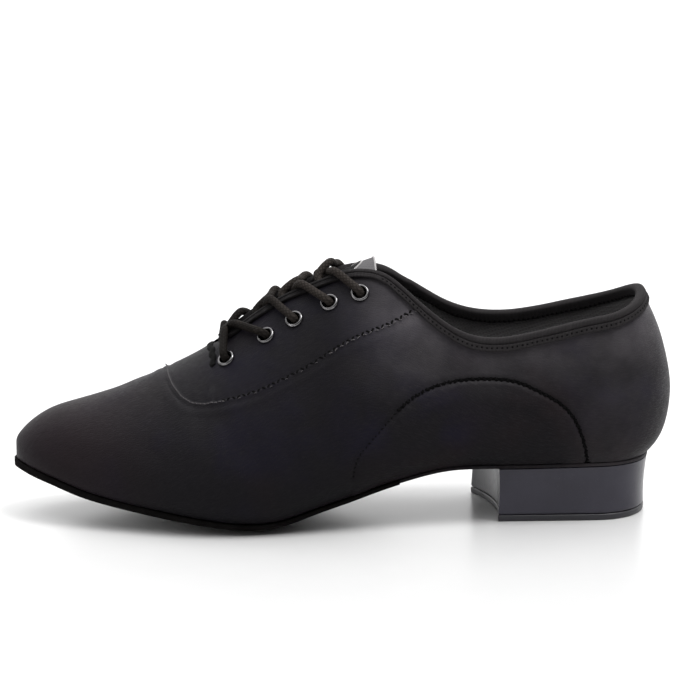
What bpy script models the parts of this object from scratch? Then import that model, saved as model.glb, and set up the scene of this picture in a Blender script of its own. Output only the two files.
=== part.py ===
"""Left dance oxford: black cloth upper, low block heel, split sole and five rows of round lace.

Metres, +Z up. The toe points along -X, the heel along +X, the lateral side is -Y and the
medial side +Y. The origin is on the floor, under the middle of the shoe.
"""

import math

import bmesh
import bpy
import numpy as np
from mathutils import Matrix, Vector

# Driving sizes
LENGTH = 0.290
BALL_WIDTH = 0.100
INSTEP_HEIGHT = 0.100
COLLAR_HEIGHT = 0.0743
TOE_SPRING = 0.0215
HEEL_HEIGHT = 0.0244
SOLE_THICKNESS = 0.0032
WALL = 0.0021
EDGE_WALL = 0.0016
EDGE_TAPER = 0.009
INSOLE_THICKNESS = 0.0022
INSOLE_CLEARANCE = 0.0008
TONGUE_THICKNESS = 0.0020
TONGUE_CLEARANCE = 0.0017
BINDING_THICKNESS = 0.0007
BINDING_DROP = 0.0050
BINDING_EASE = 0.0005
SEAM_STEP = 0.0006
SEAM_WIDTH = 0.0030
EYELET_DIAMETER = 0.0082
EYELET_BORE = 0.0052
EYELET_RIM = 0.0011
LACE_DIAMETER = 0.0034
LACE_HUMP = 0.0026
TOP_PIECE_THICKNESS = 0.0028
BREAST_HOLLOW = 0.0045
BREAST_SLANT = 0.0055
HEEL_TAPER = 0.0012
SOLE_LIP = 0.0009
SOLE_SPLIT_STEP = 0.0004
GAP = 0.0003

# Places along the shoe, as shares of its length from the toe tip
HEEL_PIVOT_SHARE = 0.879
THROAT_START_SHARE = 0.300
BINDING_START_SHARE = 0.012
SOLE_SPLIT_SHARE = 0.575
BREAST_SHARE = 0.7155
TONGUE_FRONT_SHARE = 0.262
TONGUE_TOP_SHARE = 0.546
SEAM_FRONT_SHARE = 0.226
EYELET_SHARES = (0.320, 0.379, 0.421, 0.473, 0.518)

# Sections from toe to heel. Widths are shares of BALL_WIDTH from the centre line, heights are
# shares of INSTEP_HEIGHT above the sole's lower edge, and angles are in degrees.
SECTION_COLUMNS = (
    "along", "centre", "feather_out", "feather_in", "full_out", "full_in", "full_rise",
    "top_rise", "top_half", "top_angle", "rise_pull", "reach_pull",
)
SECTION_ROWS = (
    (0.000, 0.050, 0.000, 0.000, 0.000, 0.000, 0.072, 0.102, 0.000, 0, 0.50, 0.56),
    (0.010, 0.050, 0.087, 0.085, 0.096, 0.094, 0.073, 0.164, 0.000, 0, 0.50, 0.56),
    (0.030, 0.052, 0.156, 0.144, 0.172, 0.160, 0.084, 0.233, 0.000, 0, 0.50, 0.56),
    (0.060, 0.054, 0.219, 0.196, 0.244, 0.220, 0.098, 0.306, 0.000, 0, 0.50, 0.56),
    (0.100, 0.055, 0.283, 0.247, 0.313, 0.276, 0.119, 0.376, 0.000, 0, 0.49, 0.55),
    (0.150, 0.055, 0.347, 0.297, 0.384, 0.334, 0.137, 0.451, 0.000, 0, 0.46, 0.52),
    (0.200, 0.052, 0.396, 0.336, 0.440, 0.380, 0.152, 0.534, 0.000, 0, 0.42, 0.49),
    (0.250, 0.046, 0.440, 0.369, 0.490, 0.432, 0.169, 0.624, 0.000, 0, 0.38, 0.45),
    (0.300, 0.036, 0.464, 0.382, 0.518, 0.461, 0.187, 0.724, 0.000, 0, 0.35, 0.42),
    (0.350, 0.026, 0.464, 0.370, 0.524, 0.465, 0.213, 0.848, 0.000, 0, 0.35, 0.40),
    (0.400, 0.016, 0.436, 0.336, 0.510, 0.446, 0.228, 0.944, 0.000, 0, 0.35, 0.42),
    (0.450, 0.008, 0.394, 0.294, 0.486, 0.414, 0.218, 0.983, 0.000, 0, 0.36, 0.49),
    (0.500, 0.002, 0.352, 0.262, 0.458, 0.392, 0.207, 1.014, 0.000, 0, 0.38, 0.57),
    (0.550, 0.000, 0.319, 0.242, 0.430, 0.374, 0.193, 1.022, 0.020, 6, 0.39, 0.57),
    (0.600, 0.000, 0.298, 0.240, 0.404, 0.362, 0.180, 1.005, 0.080, 20, 0.38, 0.48),
    (0.650, 0.000, 0.289, 0.253, 0.382, 0.354, 0.171, 0.952, 0.150, 40, 0.37, 0.42),
    (0.700, 0.000, 0.287, 0.270, 0.364, 0.348, 0.185, 0.890, 0.206, 57, 0.36, 0.40),
    (0.760, 0.000, 0.289, 0.283, 0.350, 0.344, 0.205, 0.840, 0.238, 67, 0.38, 0.42),
    (0.820, 0.000, 0.293, 0.292, 0.344, 0.343, 0.222, 0.807, 0.250, 71, 0.38, 0.44),
    (0.879, 0.000, 0.294, 0.294, 0.342, 0.342, 0.240, 0.787, 0.252, 72, 0.38, 0.45),
    (1.000, 0.000, 0.254, 0.254, 0.351, 0.351, 0.300, 0.786, 0.185, 52, 0.40, 0.45),
)

# The sole's line: shares of TOE_SPRING and HEEL_HEIGHT, the crown of its lower face as a share
# of BALL_WIDTH, and its thickness at the edge as a share of SOLE_THICKNESS.
SOLE_COLUMNS = ("along", "toe_rise", "heel_rise", "crown", "substance")
SOLE_ROWS = (
    (0.000, 1.000, 0.000, 0.003, 1.15),
    (0.010, 0.968, 0.000, 0.004, 1.15),
    (0.030, 0.880, 0.000, 0.005, 1.15),
    (0.060, 0.750, 0.000, 0.007, 1.12),
    (0.100, 0.568, 0.000, 0.010, 1.08),
    (0.150, 0.400, 0.000, 0.015, 1.02),
    (0.200, 0.260, 0.000, 0.020, 1.00),
    (0.250, 0.140, 0.000, 0.024, 0.95),
    (0.300, 0.022, 0.000, 0.031, 0.90),
    (0.350, -0.050, 0.000, 0.035, 0.86),
    (0.400, -0.020, 0.042, 0.031, 0.82),
    (0.450, 0.000, 0.232, 0.021, 0.80),
    (0.500, 0.000, 0.410, 0.018, 0.78),
    (0.550, 0.000, 0.606, 0.014, 0.76),
    (0.600, 0.000, 0.785, 0.009, 0.75),
    (0.650, 0.000, 0.922, 0.004, 0.75),
    (0.700, 0.000, 0.960, 0.001, 0.75),
    (0.760, 0.000, 0.964, 0.000, 0.75),
    (0.820, 0.000, 0.975, 0.000, 0.75),
    (0.879, 0.000, 0.988, 0.000, 0.75),
    (1.000, 0.000, 1.000, 0.000, 0.75),
)

# The collar's edge, as shares of COLLAR_HEIGHT above the heel seat
COLLAR_COLUMNS = ("along", "out", "in")
COLLAR_ROWS = (
    (0.500, 1.210, 1.230),
    (0.530, 1.179, 1.192),
    (0.552, 1.150, 1.166),
    (0.577, 1.075, 1.094),
    (0.603, 0.980, 1.010),
    (0.636, 0.872, 0.926),
    (0.660, 0.813, 0.870),
    (0.697, 0.766, 0.814),
    (0.730, 0.763, 0.792),
    (0.772, 0.789, 0.793),
    (0.818, 0.828, 0.820),
    (0.863, 0.866, 0.856),
    (0.900, 0.890, 0.884),
    (0.934, 0.921, 0.917),
    (0.976, 0.971, 0.970),
    (1.000, 1.000, 1.000),
)

# Half of the opening between the facings, as shares of BALL_WIDTH
THROAT_COLUMNS = ("along", "half")
THROAT_ROWS = (
    (0.300, 0.000),
    (0.306, 0.036),
    (0.318, 0.054),
    (0.340, 0.066),
    (0.380, 0.078),
    (0.420, 0.092),
    (0.460, 0.112),
    (0.500, 0.136),
    (0.540, 0.162),
    (0.600, 0.205),
)

# The facing panel's seam: how far it runs below the ridge along the surface, as shares of BALL_WIDTH
SEAM_COLUMNS = ("along", "drop")
SEAM_ROWS = (
    (0.226, 0.000),
    (0.231, 0.160),
    (0.246, 0.290),
    (0.266, 0.362),
    (0.293, 0.398),
    (0.322, 0.428),
    (0.373, 0.468),
    (0.433, 0.474),
    (0.480, 0.480),
    (0.530, 0.478),
    (0.590, 0.478),
)

# How far the tongue reaches to each side of the ridge, as shares of BALL_WIDTH
TONGUE_COLUMNS = ("along", "reach")
TONGUE_ROWS = (
    (0.262, 0.140),
    (0.300, 0.195),
    (0.340, 0.240),
    (0.440, 0.270),
    (0.546, 0.300),
)

# How far each eyelet sits from the facing's edge, from the toe up, as shares of BALL_WIDTH
EYELET_INSET_SHARES = (0.160, 0.165, 0.155, 0.135, 0.115)

# An eyelet's ring, turned: shares of the way from its bore to its outside, and of its rim's height
EYELET_PROFILE = ((0.00, 0.0), (1.00, 0.0), (0.73, 0.6), (0.40, 1.0), (0.00, 0.7))

# How the lower part of a section bulges out from the feather, as shares of its own width and height
FEATHER_PULL_OUT_SHARE = 0.62
FEATHER_PULL_UP_SHARE = 0.18
FULL_PULL_SHARE = 0.55

# Where a lace strand crosses the facing's edge and the ridge, as shares of the way to the next eyelet
STRAND_OVER_SHARE = 0.55
STRAND_MIDDLE_SHARE = 0.15
STRAND_INSIDE_SHARE = -0.10
STRAND_END_SHARE = 0.85
STRAND_ARCH_SHARE = 0.2
UNDER_STRAND_SHARE = 0.6

# Mesh fineness
STATIONS_ALONG = 34
STATIONS_ROUND_HEEL = 7
ROWS_UP = 12
PIVOT_STATION = STATIONS_ALONG / (STATIONS_ALONG + STATIONS_ROUND_HEEL)
TOE_CROWDING_SHARE = 0.16
PROFILE_STEPS = 48
CORNER_SOFTNESS = 0.0030
NARROW_SOLE = 0.020

LATERAL = -1
MEDIAL = 1


class Smooth:
    """A natural cubic spline through hand-chosen rows, with its knots where the rows lie."""

    def __init__(self, knots, values):
        self.knots = np.asarray(knots, float)
        self.values = np.asarray(values, float)
        count = len(self.knots)
        width = np.diff(self.knots)
        slope = np.diff(self.values) / width
        matrix = np.eye(count)
        right = np.zeros(count)
        for i in range(1, count - 1):
            matrix[i, i - 1] = width[i - 1]
            matrix[i, i] = 2 * (width[i - 1] + width[i])
            matrix[i, i + 1] = width[i]
            right[i] = 6 * (slope[i] - slope[i - 1])
        self.bend = np.linalg.solve(matrix, right)

    def __call__(self, at):
        at = np.clip(np.asarray(at, float), self.knots[0], self.knots[-1])
        i = np.clip(np.searchsorted(self.knots, at) - 1, 0, len(self.knots) - 2)
        width = self.knots[i + 1] - self.knots[i]
        left = (self.knots[i + 1] - at) / width
        right = 1 - left
        bend = (left**3 - left) * self.bend[i] + (right**3 - right) * self.bend[i + 1]
        return left * self.values[i] + right * self.values[i + 1] + bend * width**2 / 6


def table(columns, rows, start=0.0):
    """Each column as a smooth curve of the square root of the share past start."""
    knots = np.sqrt(np.array([row[0] for row in rows]) - start)
    return {name: Smooth(knots, [row[i] for row in rows]) for i, name in enumerate(columns) if i}


SECTIONS = table(SECTION_COLUMNS, SECTION_ROWS)
SOLE = table(SOLE_COLUMNS, SOLE_ROWS)
COLLAR = table(COLLAR_COLUMNS, COLLAR_ROWS)
THROAT = table(THROAT_COLUMNS, THROAT_ROWS, THROAT_START_SHARE)
SEAM = table(SEAM_COLUMNS, SEAM_ROWS, SEAM_FRONT_SHARE)
TONGUE = table(TONGUE_COLUMNS, TONGUE_ROWS)


def column(tab, name, share):
    return tab[name](np.sqrt(share))


def share_of(station):
    """The share of the length that a station reads its row at, from 0 at the toe to 1 at the heel's back."""
    step = np.clip(station / PIVOT_STATION, 0, 1)
    ahead = HEEL_PIVOT_SHARE * step**2 * (1 + TOE_CROWDING_SHARE) / (step + TOE_CROWDING_SHARE)
    round_back = HEEL_PIVOT_SHARE + (1 - HEEL_PIVOT_SHARE) * np.sin(turn_of(station))
    return np.where(station <= PIVOT_STATION, ahead, round_back)


def turn_of(station):
    """The angle of a station's section round the heel, zero ahead of the pivot."""
    return np.clip((station - PIVOT_STATION) / (1 - PIVOT_STATION), 0, 1) * math.pi / 2


def station_at(share):
    """The station ahead of the heel pivot whose section stands at this share of the length."""
    part = share / HEEL_PIVOT_SHARE / (1 + TOE_CROWDING_SHARE)
    step = (part + math.sqrt(part * part + 4 * part * TOE_CROWDING_SHARE)) / 2
    return step * PIVOT_STATION


def place(share):
    return (share - 0.5) * LENGTH


def sole_centre(share):
    """Height of the sole's lower face on its centre line, before its flat spot is cut."""
    return TOE_SPRING * column(SOLE, "toe_rise", share) + HEEL_HEIGHT * column(SOLE, "heel_rise", share)


def sole_edge(share):
    return sole_centre(share) + BALL_WIDTH * column(SOLE, "crown", share)


def feather_height(share):
    """Height at which the upper meets the sole's edge."""
    return sole_edge(share) + SOLE_THICKNESS * column(SOLE, "substance", share)


def round_heel(station, ahead, side_value, back_value):
    """A width: its own value ahead of the heel pivot, and an ellipse round it."""
    turn = turn_of(station)
    ellipse = 1 / np.sqrt((np.cos(turn) / side_value) ** 2 + (np.sin(turn) / back_value) ** 2)
    return np.where(turn > 0, ellipse, ahead)


def width_at(station, side, name):
    """Half width of the section, as a share of BALL_WIDTH, from the centre line or the heel pivot."""
    suffix = "_out" if side == LATERAL else "_in"
    name = name if name == "top_half" else name + suffix
    ahead = np.maximum(column(SECTIONS, name, share_of(station)), 0)
    pivot = float(column(SECTIONS, name, HEEL_PIVOT_SHARE))
    back = float(column(SECTIONS, name, 1.0))
    return round_heel(station, ahead, pivot, back) * BALL_WIDTH


def section_frame(station, side):
    """Where a section's plane starts on the centre line, and the way that it faces, as x, y pairs."""
    share = np.minimum(share_of(station), HEEL_PIVOT_SHARE)
    turn = turn_of(station)
    start = np.stack([place(share), column(SECTIONS, "centre", share) * BALL_WIDTH], -1)
    facing = np.stack([np.sin(turn), side * np.cos(turn)], -1)
    return start, facing


def section_profiles(stations, side):
    """Distance and height along each section, from the feather to the ridge or the cone's top."""
    stations = np.asarray(stations, float)
    share = share_of(stations)
    feather = width_at(stations, side, "feather")
    full = width_at(stations, side, "full")
    top = width_at(stations, side, "top_half")
    low = feather_height(share)
    edge = sole_edge(share)
    middle = edge + INSTEP_HEIGHT * column(SECTIONS, "full_rise", share)
    high = edge + INSTEP_HEIGHT * column(SECTIONS, "top_rise", share)
    angle = np.radians(column(SECTIONS, "top_angle", share))
    reach = (full - top) * column(SECTIONS, "reach_pull", share)
    rise = (high - middle) * column(SECTIONS, "rise_pull", share)
    bulge = middle - low
    lower = (
        (feather, low),
        (feather + FEATHER_PULL_OUT_SHARE * (full - feather), low + FEATHER_PULL_UP_SHARE * bulge),
        (full, middle - FULL_PULL_SHARE * bulge),
        (full, middle),
    )
    upper = (
        (full, middle),
        (full, middle + rise),
        (top + reach * np.cos(angle), high - reach * np.sin(angle)),
        (top, high),
    )
    t = np.linspace(0, 1, PROFILE_STEPS + 1)
    weights = np.stack([(1 - t) ** 3, 3 * t * (1 - t) ** 2, 3 * t * t * (1 - t), t**3])
    halves = []
    for corners in (lower, upper):
        points = np.array([[np.broadcast_to(value, stations.shape) for value in corner] for corner in corners])
        halves.append(np.einsum("kn,kcs->snc", weights, points))
    return np.concatenate([halves[0], halves[1][:, 1:]], axis=1)


def lengths_along(profile):
    steps = np.linalg.norm(np.diff(profile, axis=1), axis=2)
    return np.concatenate([np.zeros((len(profile), 1)), np.cumsum(steps, axis=1)], axis=1)


def throat_half(share):
    half = THROAT["half"](np.sqrt(np.maximum(share - THROAT_START_SHARE, 0)))
    return np.where(share > THROAT_START_SHARE, np.maximum(half, 0), 0) * BALL_WIDTH


def collar_edge(share, side):
    """Height of the collar's edge above the floor."""
    edge = column(COLLAR, "out" if side == LATERAL else "in", np.maximum(share, COLLAR_ROWS[0][0]))
    return HEEL_HEIGHT + COLLAR_HEIGHT * edge


def edge_lengths(stations, side, profile, lengths):
    """How far up each section its edge lies: the ridge over the vamp, else the throat's or collar's edge."""
    share = share_of(np.asarray(stations, float))
    gap = throat_half(share)
    collar = collar_edge(share, side)
    found = np.empty(len(profile))
    for i, (section, length) in enumerate(zip(profile, lengths)):
        upper = slice(PROFILE_STEPS, None)
        total = length[-1]
        to_throat = total
        if gap[i] > section[-1, 0]:
            to_throat = np.interp(-gap[i], -section[upper, 0], length[upper])
        if share[i] < COLLAR_ROWS[0][0]:
            found[i] = to_throat
            continue
        to_collar = np.interp(collar[i], section[upper, 1], length[upper])
        if collar[i] > section[-1, 1]:
            to_collar = total + collar[i] - section[-1, 1]
        if share[i] > THROAT_ROWS[-1][0]:
            found[i] = to_collar
            continue
        soft = CORNER_SOFTNESS
        found[i] = min(to_throat, to_collar) - soft * math.log1p(math.exp(-abs(to_throat - to_collar) / soft))
    return found


def seam_drop(share):
    """How far below the ridge the facing panel's seam runs, and how steeply that changes along the shoe."""
    probe = 1e-3
    drop = SEAM["drop"](np.sqrt(np.maximum(share - SEAM_FRONT_SHARE, 0))) * BALL_WIDTH
    behind = SEAM["drop"](np.sqrt(np.maximum(share + probe - SEAM_FRONT_SHARE, 0))) * BALL_WIDTH
    return drop, (behind - drop) / (probe * LENGTH)


def panel_step(share, below_ridge):
    """How far the facing panel lies below the vamp and quarter round it."""
    drop, slope = seam_drop(share)
    inside = (drop - below_ridge) / np.sqrt(1 + slope**2)
    inside = np.where(share > SEAM_FRONT_SHARE, inside, -SEAM_WIDTH)
    step = np.clip(inside / SEAM_WIDTH + 0.5, 0, 1)
    return SEAM_STEP * step * step * (3 - 2 * step)


def along_section(ways, lengths, values):
    """A section's value at each length, going on straight above the section's top."""
    past = np.maximum(ways - lengths[-1], 0)
    return np.interp(ways, lengths, values) + past * (values[-1] - values[-2]) / (lengths[-1] - lengths[-2])


def surface_points(stations, side, ways, inset=0.0, stepped=True):
    """Points of the last's surface. ways[i, j] is the length up section i from its feather."""
    stations = np.asarray(stations, float)
    profile = section_profiles(stations, side)
    lengths = lengths_along(profile)
    start, facing = section_frame(stations, side)
    share = share_of(stations)
    points = np.empty(ways.shape + (3,))
    for i in range(len(stations)):
        out = along_section(ways[i], lengths[i], profile[i, :, 0])
        up = along_section(ways[i], lengths[i], profile[i, :, 1])
        sunk = inset
        if stepped:
            sunk = sunk + panel_step(share[i], lengths[i, -1] - ways[i])
        slope_out = np.gradient(profile[i, :, 0], lengths[i])
        slope_up = np.gradient(profile[i, :, 1], lengths[i])
        out = out - sunk * np.interp(ways[i], lengths[i], slope_up)
        up = up + sunk * np.interp(ways[i], lengths[i], slope_out)
        points[i, :, :2] = start[i] + facing[i] * out[:, None]
        points[i, :, 2] = up
    return points


def sections_up_to_edge(stations, side):
    profile = section_profiles(stations, side)
    lengths = lengths_along(profile)
    return lengths, edge_lengths(stations, side, profile, lengths)


# Meshes and objects
def clear_scene():
    for obj in list(bpy.data.objects):
        bpy.data.objects.remove(obj, do_unlink=True)


def material(name, color, roughness, metallic=0.0):
    made = bpy.data.materials.new(name)
    made.use_nodes = True
    shader = made.node_tree.nodes["Principled BSDF"]
    shader.inputs["Base Color"].default_value = (*color, 1.0)
    shader.inputs["Roughness"].default_value = roughness
    shader.inputs["Metallic"].default_value = metallic
    return made


def add_object(name, mesh, finish):
    mesh.materials.append(finish)
    mesh.shade_smooth()
    mesh.set_sharp_from_angle(angle=math.radians(40))
    obj = bpy.data.objects.new(name, mesh)
    bpy.context.scene.collection.objects.link(obj)
    return obj


def mesh_from(name, vertices, faces, merge=1e-6):
    """A mesh whose coinciding points are one point and whose faces point outwards."""
    shape = bmesh.new()
    made = [shape.verts.new(point) for point in vertices]
    for face in faces:
        shape.faces.new([made[i] for i in face])
    bmesh.ops.remove_doubles(shape, verts=shape.verts, dist=merge)
    bmesh.ops.dissolve_degenerate(shape, dist=merge, edges=shape.edges)
    bmesh.ops.recalc_face_normals(shape, faces=shape.faces)
    mesh = bpy.data.meshes.new(name)
    shape.to_mesh(mesh)
    shape.free()
    return mesh


def grid_faces(rows, columns, first=0, flip=False):
    """Quads over a grid of points that is stored row by row."""
    faces = []
    for i in range(rows - 1):
        for j in range(columns - 1):
            a = first + i * columns + j
            b = a + columns
            quad = (a, b, b + 1, a + 1)
            faces.append(quad[::-1] if flip else quad)
    return faces


def slab_faces(rows, columns):
    """Faces of a slab whose bottom and top are two grids of points, one stored after the other."""
    count = rows * columns
    ring = [i * columns for i in range(rows)]
    ring += [(rows - 1) * columns + j for j in range(1, columns)]
    ring += [i * columns + columns - 1 for i in range(rows - 2, -1, -1)]
    ring += [j for j in range(columns - 2, 0, -1)]
    faces = grid_faces(rows, columns) + grid_faces(rows, columns, count, flip=True)
    return faces + [(a, b, b + count, a + count) for a, b in zip(ring, ring[1:] + ring[:1])]


def ring_faces(rings, count, closed=False):
    """Quads between rings of points, stored ring after ring."""
    faces = []
    for i in range(rings if closed else rings - 1):
        here = i * count
        there = (i + 1) % rings * count
        faces += [(here + j, there + j, there + (j + 1) % count, here + (j + 1) % count) for j in range(count)]
    return faces


def shell(name, vertices, faces, thickness):
    """An open skin made solid inwards, with a rim round each of its openings."""
    skin = bmesh.new()
    layer = skin.verts.layers.float.new("thickness")
    made = [skin.verts.new(point) for point in vertices]
    for vert, value in zip(made, thickness):
        vert[layer] = value
    for face in faces:
        skin.faces.new([made[i] for i in face])
    bmesh.ops.remove_doubles(skin, verts=skin.verts, dist=1e-6)
    bmesh.ops.dissolve_degenerate(skin, dist=1e-6, edges=skin.edges)
    skin.normal_update()
    inner = {vert: skin.verts.new(vert.co - vert.normal * vert[layer]) for vert in list(skin.verts)}
    rims = [edge for edge in skin.edges if edge.is_boundary]
    for face in list(skin.faces):
        skin.faces.new([inner[vert] for vert in reversed(face.verts)])
    for edge in rims:
        a, b = edge.verts
        skin.faces.new((a, b, inner[b], inner[a]))
    bmesh.ops.recalc_face_normals(skin, faces=skin.faces)
    mesh = bpy.data.meshes.new(name)
    skin.to_mesh(mesh)
    skin.free()
    return mesh


def upper_stations():
    """Even steps from toe to heel, with one moved to where the throat starts."""
    stations = np.linspace(0, 1, STATIONS_ALONG + STATIONS_ROUND_HEEL + 1)
    throat = station_at(THROAT_START_SHARE)
    stations[np.argmin(abs(stations - throat))] = throat
    return np.sort(np.append(stations, throat + 0.25 / len(stations)))


def upper():
    stations = upper_stations()
    ways_up = np.linspace(0, 1, ROWS_UP + 1)
    vertices = []
    faces = []
    thickness = []
    for side in (LATERAL, MEDIAL):
        lengths, edge = sections_up_to_edge(stations, side)
        ways = edge[:, None] * ways_up
        points = surface_points(stations, side, ways)
        faces += grid_faces(len(stations), ROWS_UP + 1, len(vertices), flip=side == MEDIAL)
        vertices += points.reshape(-1, 3).tolist()
        below_edge = edge[:, None] - ways
        open_edge = (share_of(stations) > THROAT_START_SHARE)[:, None]
        taper = np.where(open_edge, np.clip((below_edge - BINDING_DROP) / EDGE_TAPER, 0, 1), 1)
        thickness += (EDGE_WALL + (WALL - EDGE_WALL) * taper).reshape(-1).tolist()
    finish = material("upper_cloth", (0.012, 0.012, 0.014), 0.72)
    return add_object("upper", shell("upper", vertices, faces, thickness), finish)


def feather_line(stations, side):
    """The plan line where the upper meets the sole."""
    start, facing = section_frame(stations, side)
    return start + facing * width_at(stations, side, "feather")[:, None]


def sole_outline(stations, side, lip):
    """A plan outline that stands off the feather by the lip, outwards, and no further than the toe's tip."""
    stations = np.asarray(stations, float)
    before = np.maximum(stations - 1e-3, 0)
    after = np.minimum(stations + 1e-3, 1)
    along = feather_line(after, side) - feather_line(before, side)
    along /= np.linalg.norm(along, axis=1)[:, None]
    along[0] = (0, side) if stations[0] < 1e-3 else along[0]
    along[-1] = (0, -side) if stations[-1] > 1 - 1e-3 else along[-1]
    outwards = np.stack([-along[:, 1], along[:, 0]], -1) * side
    outline = feather_line(stations, side) + outwards * lip
    outline[:, 0] = np.maximum(outline[:, 0], -LENGTH / 2)
    return outline


def sole_slab(name, first, last, lip, lower, upper_face, finish, across=7):
    """A slab between two heights, from one share of the length to another, with round ends at toe or heel."""
    stations = [s for s in upper_stations() if first < s < last]
    stations = np.array([first] + stations + [last])
    left = sole_outline(stations, LATERAL, lip)
    right = sole_outline(stations, MEDIAL, lip)
    spread = np.sin(np.linspace(-0.5, 0.5, across) * math.pi) * 0.5 + 0.5
    plan = left[:, None] * (1 - spread)[None, :, None] + right[:, None] * spread[None, :, None]
    share = np.clip(plan[..., 0] / LENGTH + 0.5, 0, 1)
    width = np.linalg.norm(left - right, axis=1)[:, None]
    narrow = np.clip(width / NARROW_SOLE, 0, 1)
    offset = 1 - (1 - 2 * abs(spread - 0.5)[None, :]) * narrow
    bottom = np.concatenate([plan, lower(share, offset)[..., None]], -1)
    top = np.concatenate([plan, upper_face(share, offset)[..., None]], -1)
    vertices = np.concatenate([bottom.reshape(-1, 3), top.reshape(-1, 3)]).tolist()
    return add_object(name, mesh_from(name, vertices, slab_faces(*share.shape)), finish)


def lower_face(share, offset):
    """The sole's lower face: crowned across, and worn flat where it stands."""
    crown = BALL_WIDTH * column(SOLE, "crown", share)
    return np.maximum(sole_centre(share) + crown * offset**2, 0)


def upper_face(share, offset):
    """The face that the upper and the insole rest on."""
    crown = BALL_WIDTH * column(SOLE, "crown", share)
    thick = SOLE_THICKNESS * column(SOLE, "substance", share)
    return sole_centre(share) + crown * offset**2 + thick - GAP


def outsole():
    finish = material("sole_suede", (0.016, 0.015, 0.015), 0.9)
    first = station_at(0.0)
    last = station_at(SOLE_SPLIT_SHARE)
    return sole_slab("outsole", first, last, SOLE_LIP, lower_face, upper_face, finish)


def waist_cover():
    """The cloth-covered waist and heel seat behind the split sole, a step thinner than it."""
    finish = material("waist_cloth", (0.012, 0.012, 0.014), 0.75)
    first = station_at(SOLE_SPLIT_SHARE + GAP / LENGTH)

    def lower(share, offset):
        return lower_face(share, offset) + SOLE_SPLIT_STEP

    return sole_slab("waist_cover", first, 1.0, 0.0, lower, upper_face, finish)


def insole():
    finish = material("insole_lining", (0.03, 0.03, 0.032), 0.8)
    inset = -(WALL + INSOLE_CLEARANCE)

    def lower(share, offset):
        return upper_face(share, offset) + GAP

    def top(share, offset):
        return upper_face(share, offset) + GAP + INSOLE_THICKNESS

    return sole_slab("insole", 0.0, 1.0, inset, lower, top, finish)


def breast_line(across):
    """How far along the shoe the heel's hollow breast stands, for -1 lateral to 1 medial."""
    return place(BREAST_SHARE) - BREAST_SLANT / 2 * across + BREAST_HOLLOW * (1 - across**2)


def heel_outline(shrink, steps=20, breast_steps=9):
    """The heel's plan outline: round the back from the lateral breast corner, then along the breast."""
    stations = np.linspace(station_at(BREAST_SHARE), 1.0, steps)
    left = sole_outline(stations, LATERAL, -shrink)
    right = sole_outline(stations, MEDIAL, -shrink)
    left = left[left[:, 0] > breast_line(-1)]
    right = right[right[:, 0] > breast_line(1)]
    corner_out = (breast_line(-1), np.interp(breast_line(-1), left[:, 0], left[:, 1]))
    corner_in = (breast_line(1), np.interp(breast_line(1), right[:, 0], right[:, 1]))
    outline = [corner_out] + left.tolist() + right[-2::-1].tolist() + [corner_in]
    for across in np.linspace(1, -1, breast_steps)[1:-1]:
        y = np.interp(across, (-1, 1), (corner_out[1], corner_in[1]))
        outline.append((float(breast_line(across)), float(y)))
    return np.array(outline)


def heel_slab(name, low, high, low_shrink, high_shrink, finish):
    """A heel layer between two heights, each a number or a function of the share of the length."""
    bottom = heel_outline(low_shrink)
    top = heel_outline(high_shrink)
    count = len(bottom)
    heights = high(top[:, 0] / LENGTH + 0.5) if callable(high) else np.full(count, high)
    vertices = [(x, y, low) for x, y in bottom] + [(x, y, z) for (x, y), z in zip(top, heights)]
    faces = [tuple(range(count))]
    for i in range(count):
        j = (i + 1) % count
        faces.append((i, j, j + count, i + count))
    shape = bmesh.new()
    made = [shape.verts.new(point) for point in vertices]
    for face in faces:
        shape.faces.new([made[i] for i in face])
    rim = [edge for edge in shape.edges if edge.is_boundary]
    bmesh.ops.triangle_fill(shape, edges=rim, use_beauty=True)
    bmesh.ops.triangulate(shape, faces=shape.faces)
    bmesh.ops.recalc_face_normals(shape, faces=shape.faces)
    mesh = bpy.data.meshes.new(name)
    shape.to_mesh(mesh)
    shape.free()
    return add_object(name, mesh, finish)


def heel_block():
    finish = material("heel_lacquer", (0.045, 0.045, 0.052), 0.28)

    def seat(share):
        return lower_face(np.clip(share, 0, 1), np.zeros(len(share))) + SOLE_SPLIT_STEP - GAP

    low = TOP_PIECE_THICKNESS + GAP
    return heel_slab("heel_block", low, seat, HEEL_TAPER, 0.0, finish)


def heel_top_piece():
    finish = material("top_piece_rubber", (0.05, 0.05, 0.055), 0.45)
    return heel_slab("heel_top_piece", 0.0, TOP_PIECE_THICKNESS, HEEL_TAPER, HEEL_TAPER, finish)


def tongue():
    """A sheet that follows the last's surface under the facings, and stands a little above them."""
    stations = np.linspace(station_at(TONGUE_FRONT_SHARE), station_at(TONGUE_TOP_SHARE), 15)
    across = np.linspace(0, 1, 7)
    reach = column(TONGUE, "reach", share_of(stations)) * BALL_WIDTH
    sink = EDGE_WALL + SEAM_STEP + BINDING_THICKNESS + 2 * GAP + TONGUE_CLEARANCE
    layers = []
    for inset in (sink, sink + TONGUE_THICKNESS):
        halves = []
        for side in (LATERAL, MEDIAL):
            lengths = lengths_along(section_profiles(stations, side))
            ways = lengths[:, -1:] - reach[:, None] * across[::-1]
            halves.append(surface_points(stations, side, ways, inset, stepped=False))
        layers.append(np.concatenate([halves[0], halves[1][:, -2::-1]], axis=1))
    vertices = np.concatenate([layer.reshape(-1, 3) for layer in layers]).tolist()
    finish = material("tongue_lining", (0.15, 0.145, 0.15), 0.85)
    return add_object("tongue", mesh_from("tongue", vertices, slab_faces(*layers[0].shape[:2])), finish)


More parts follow.
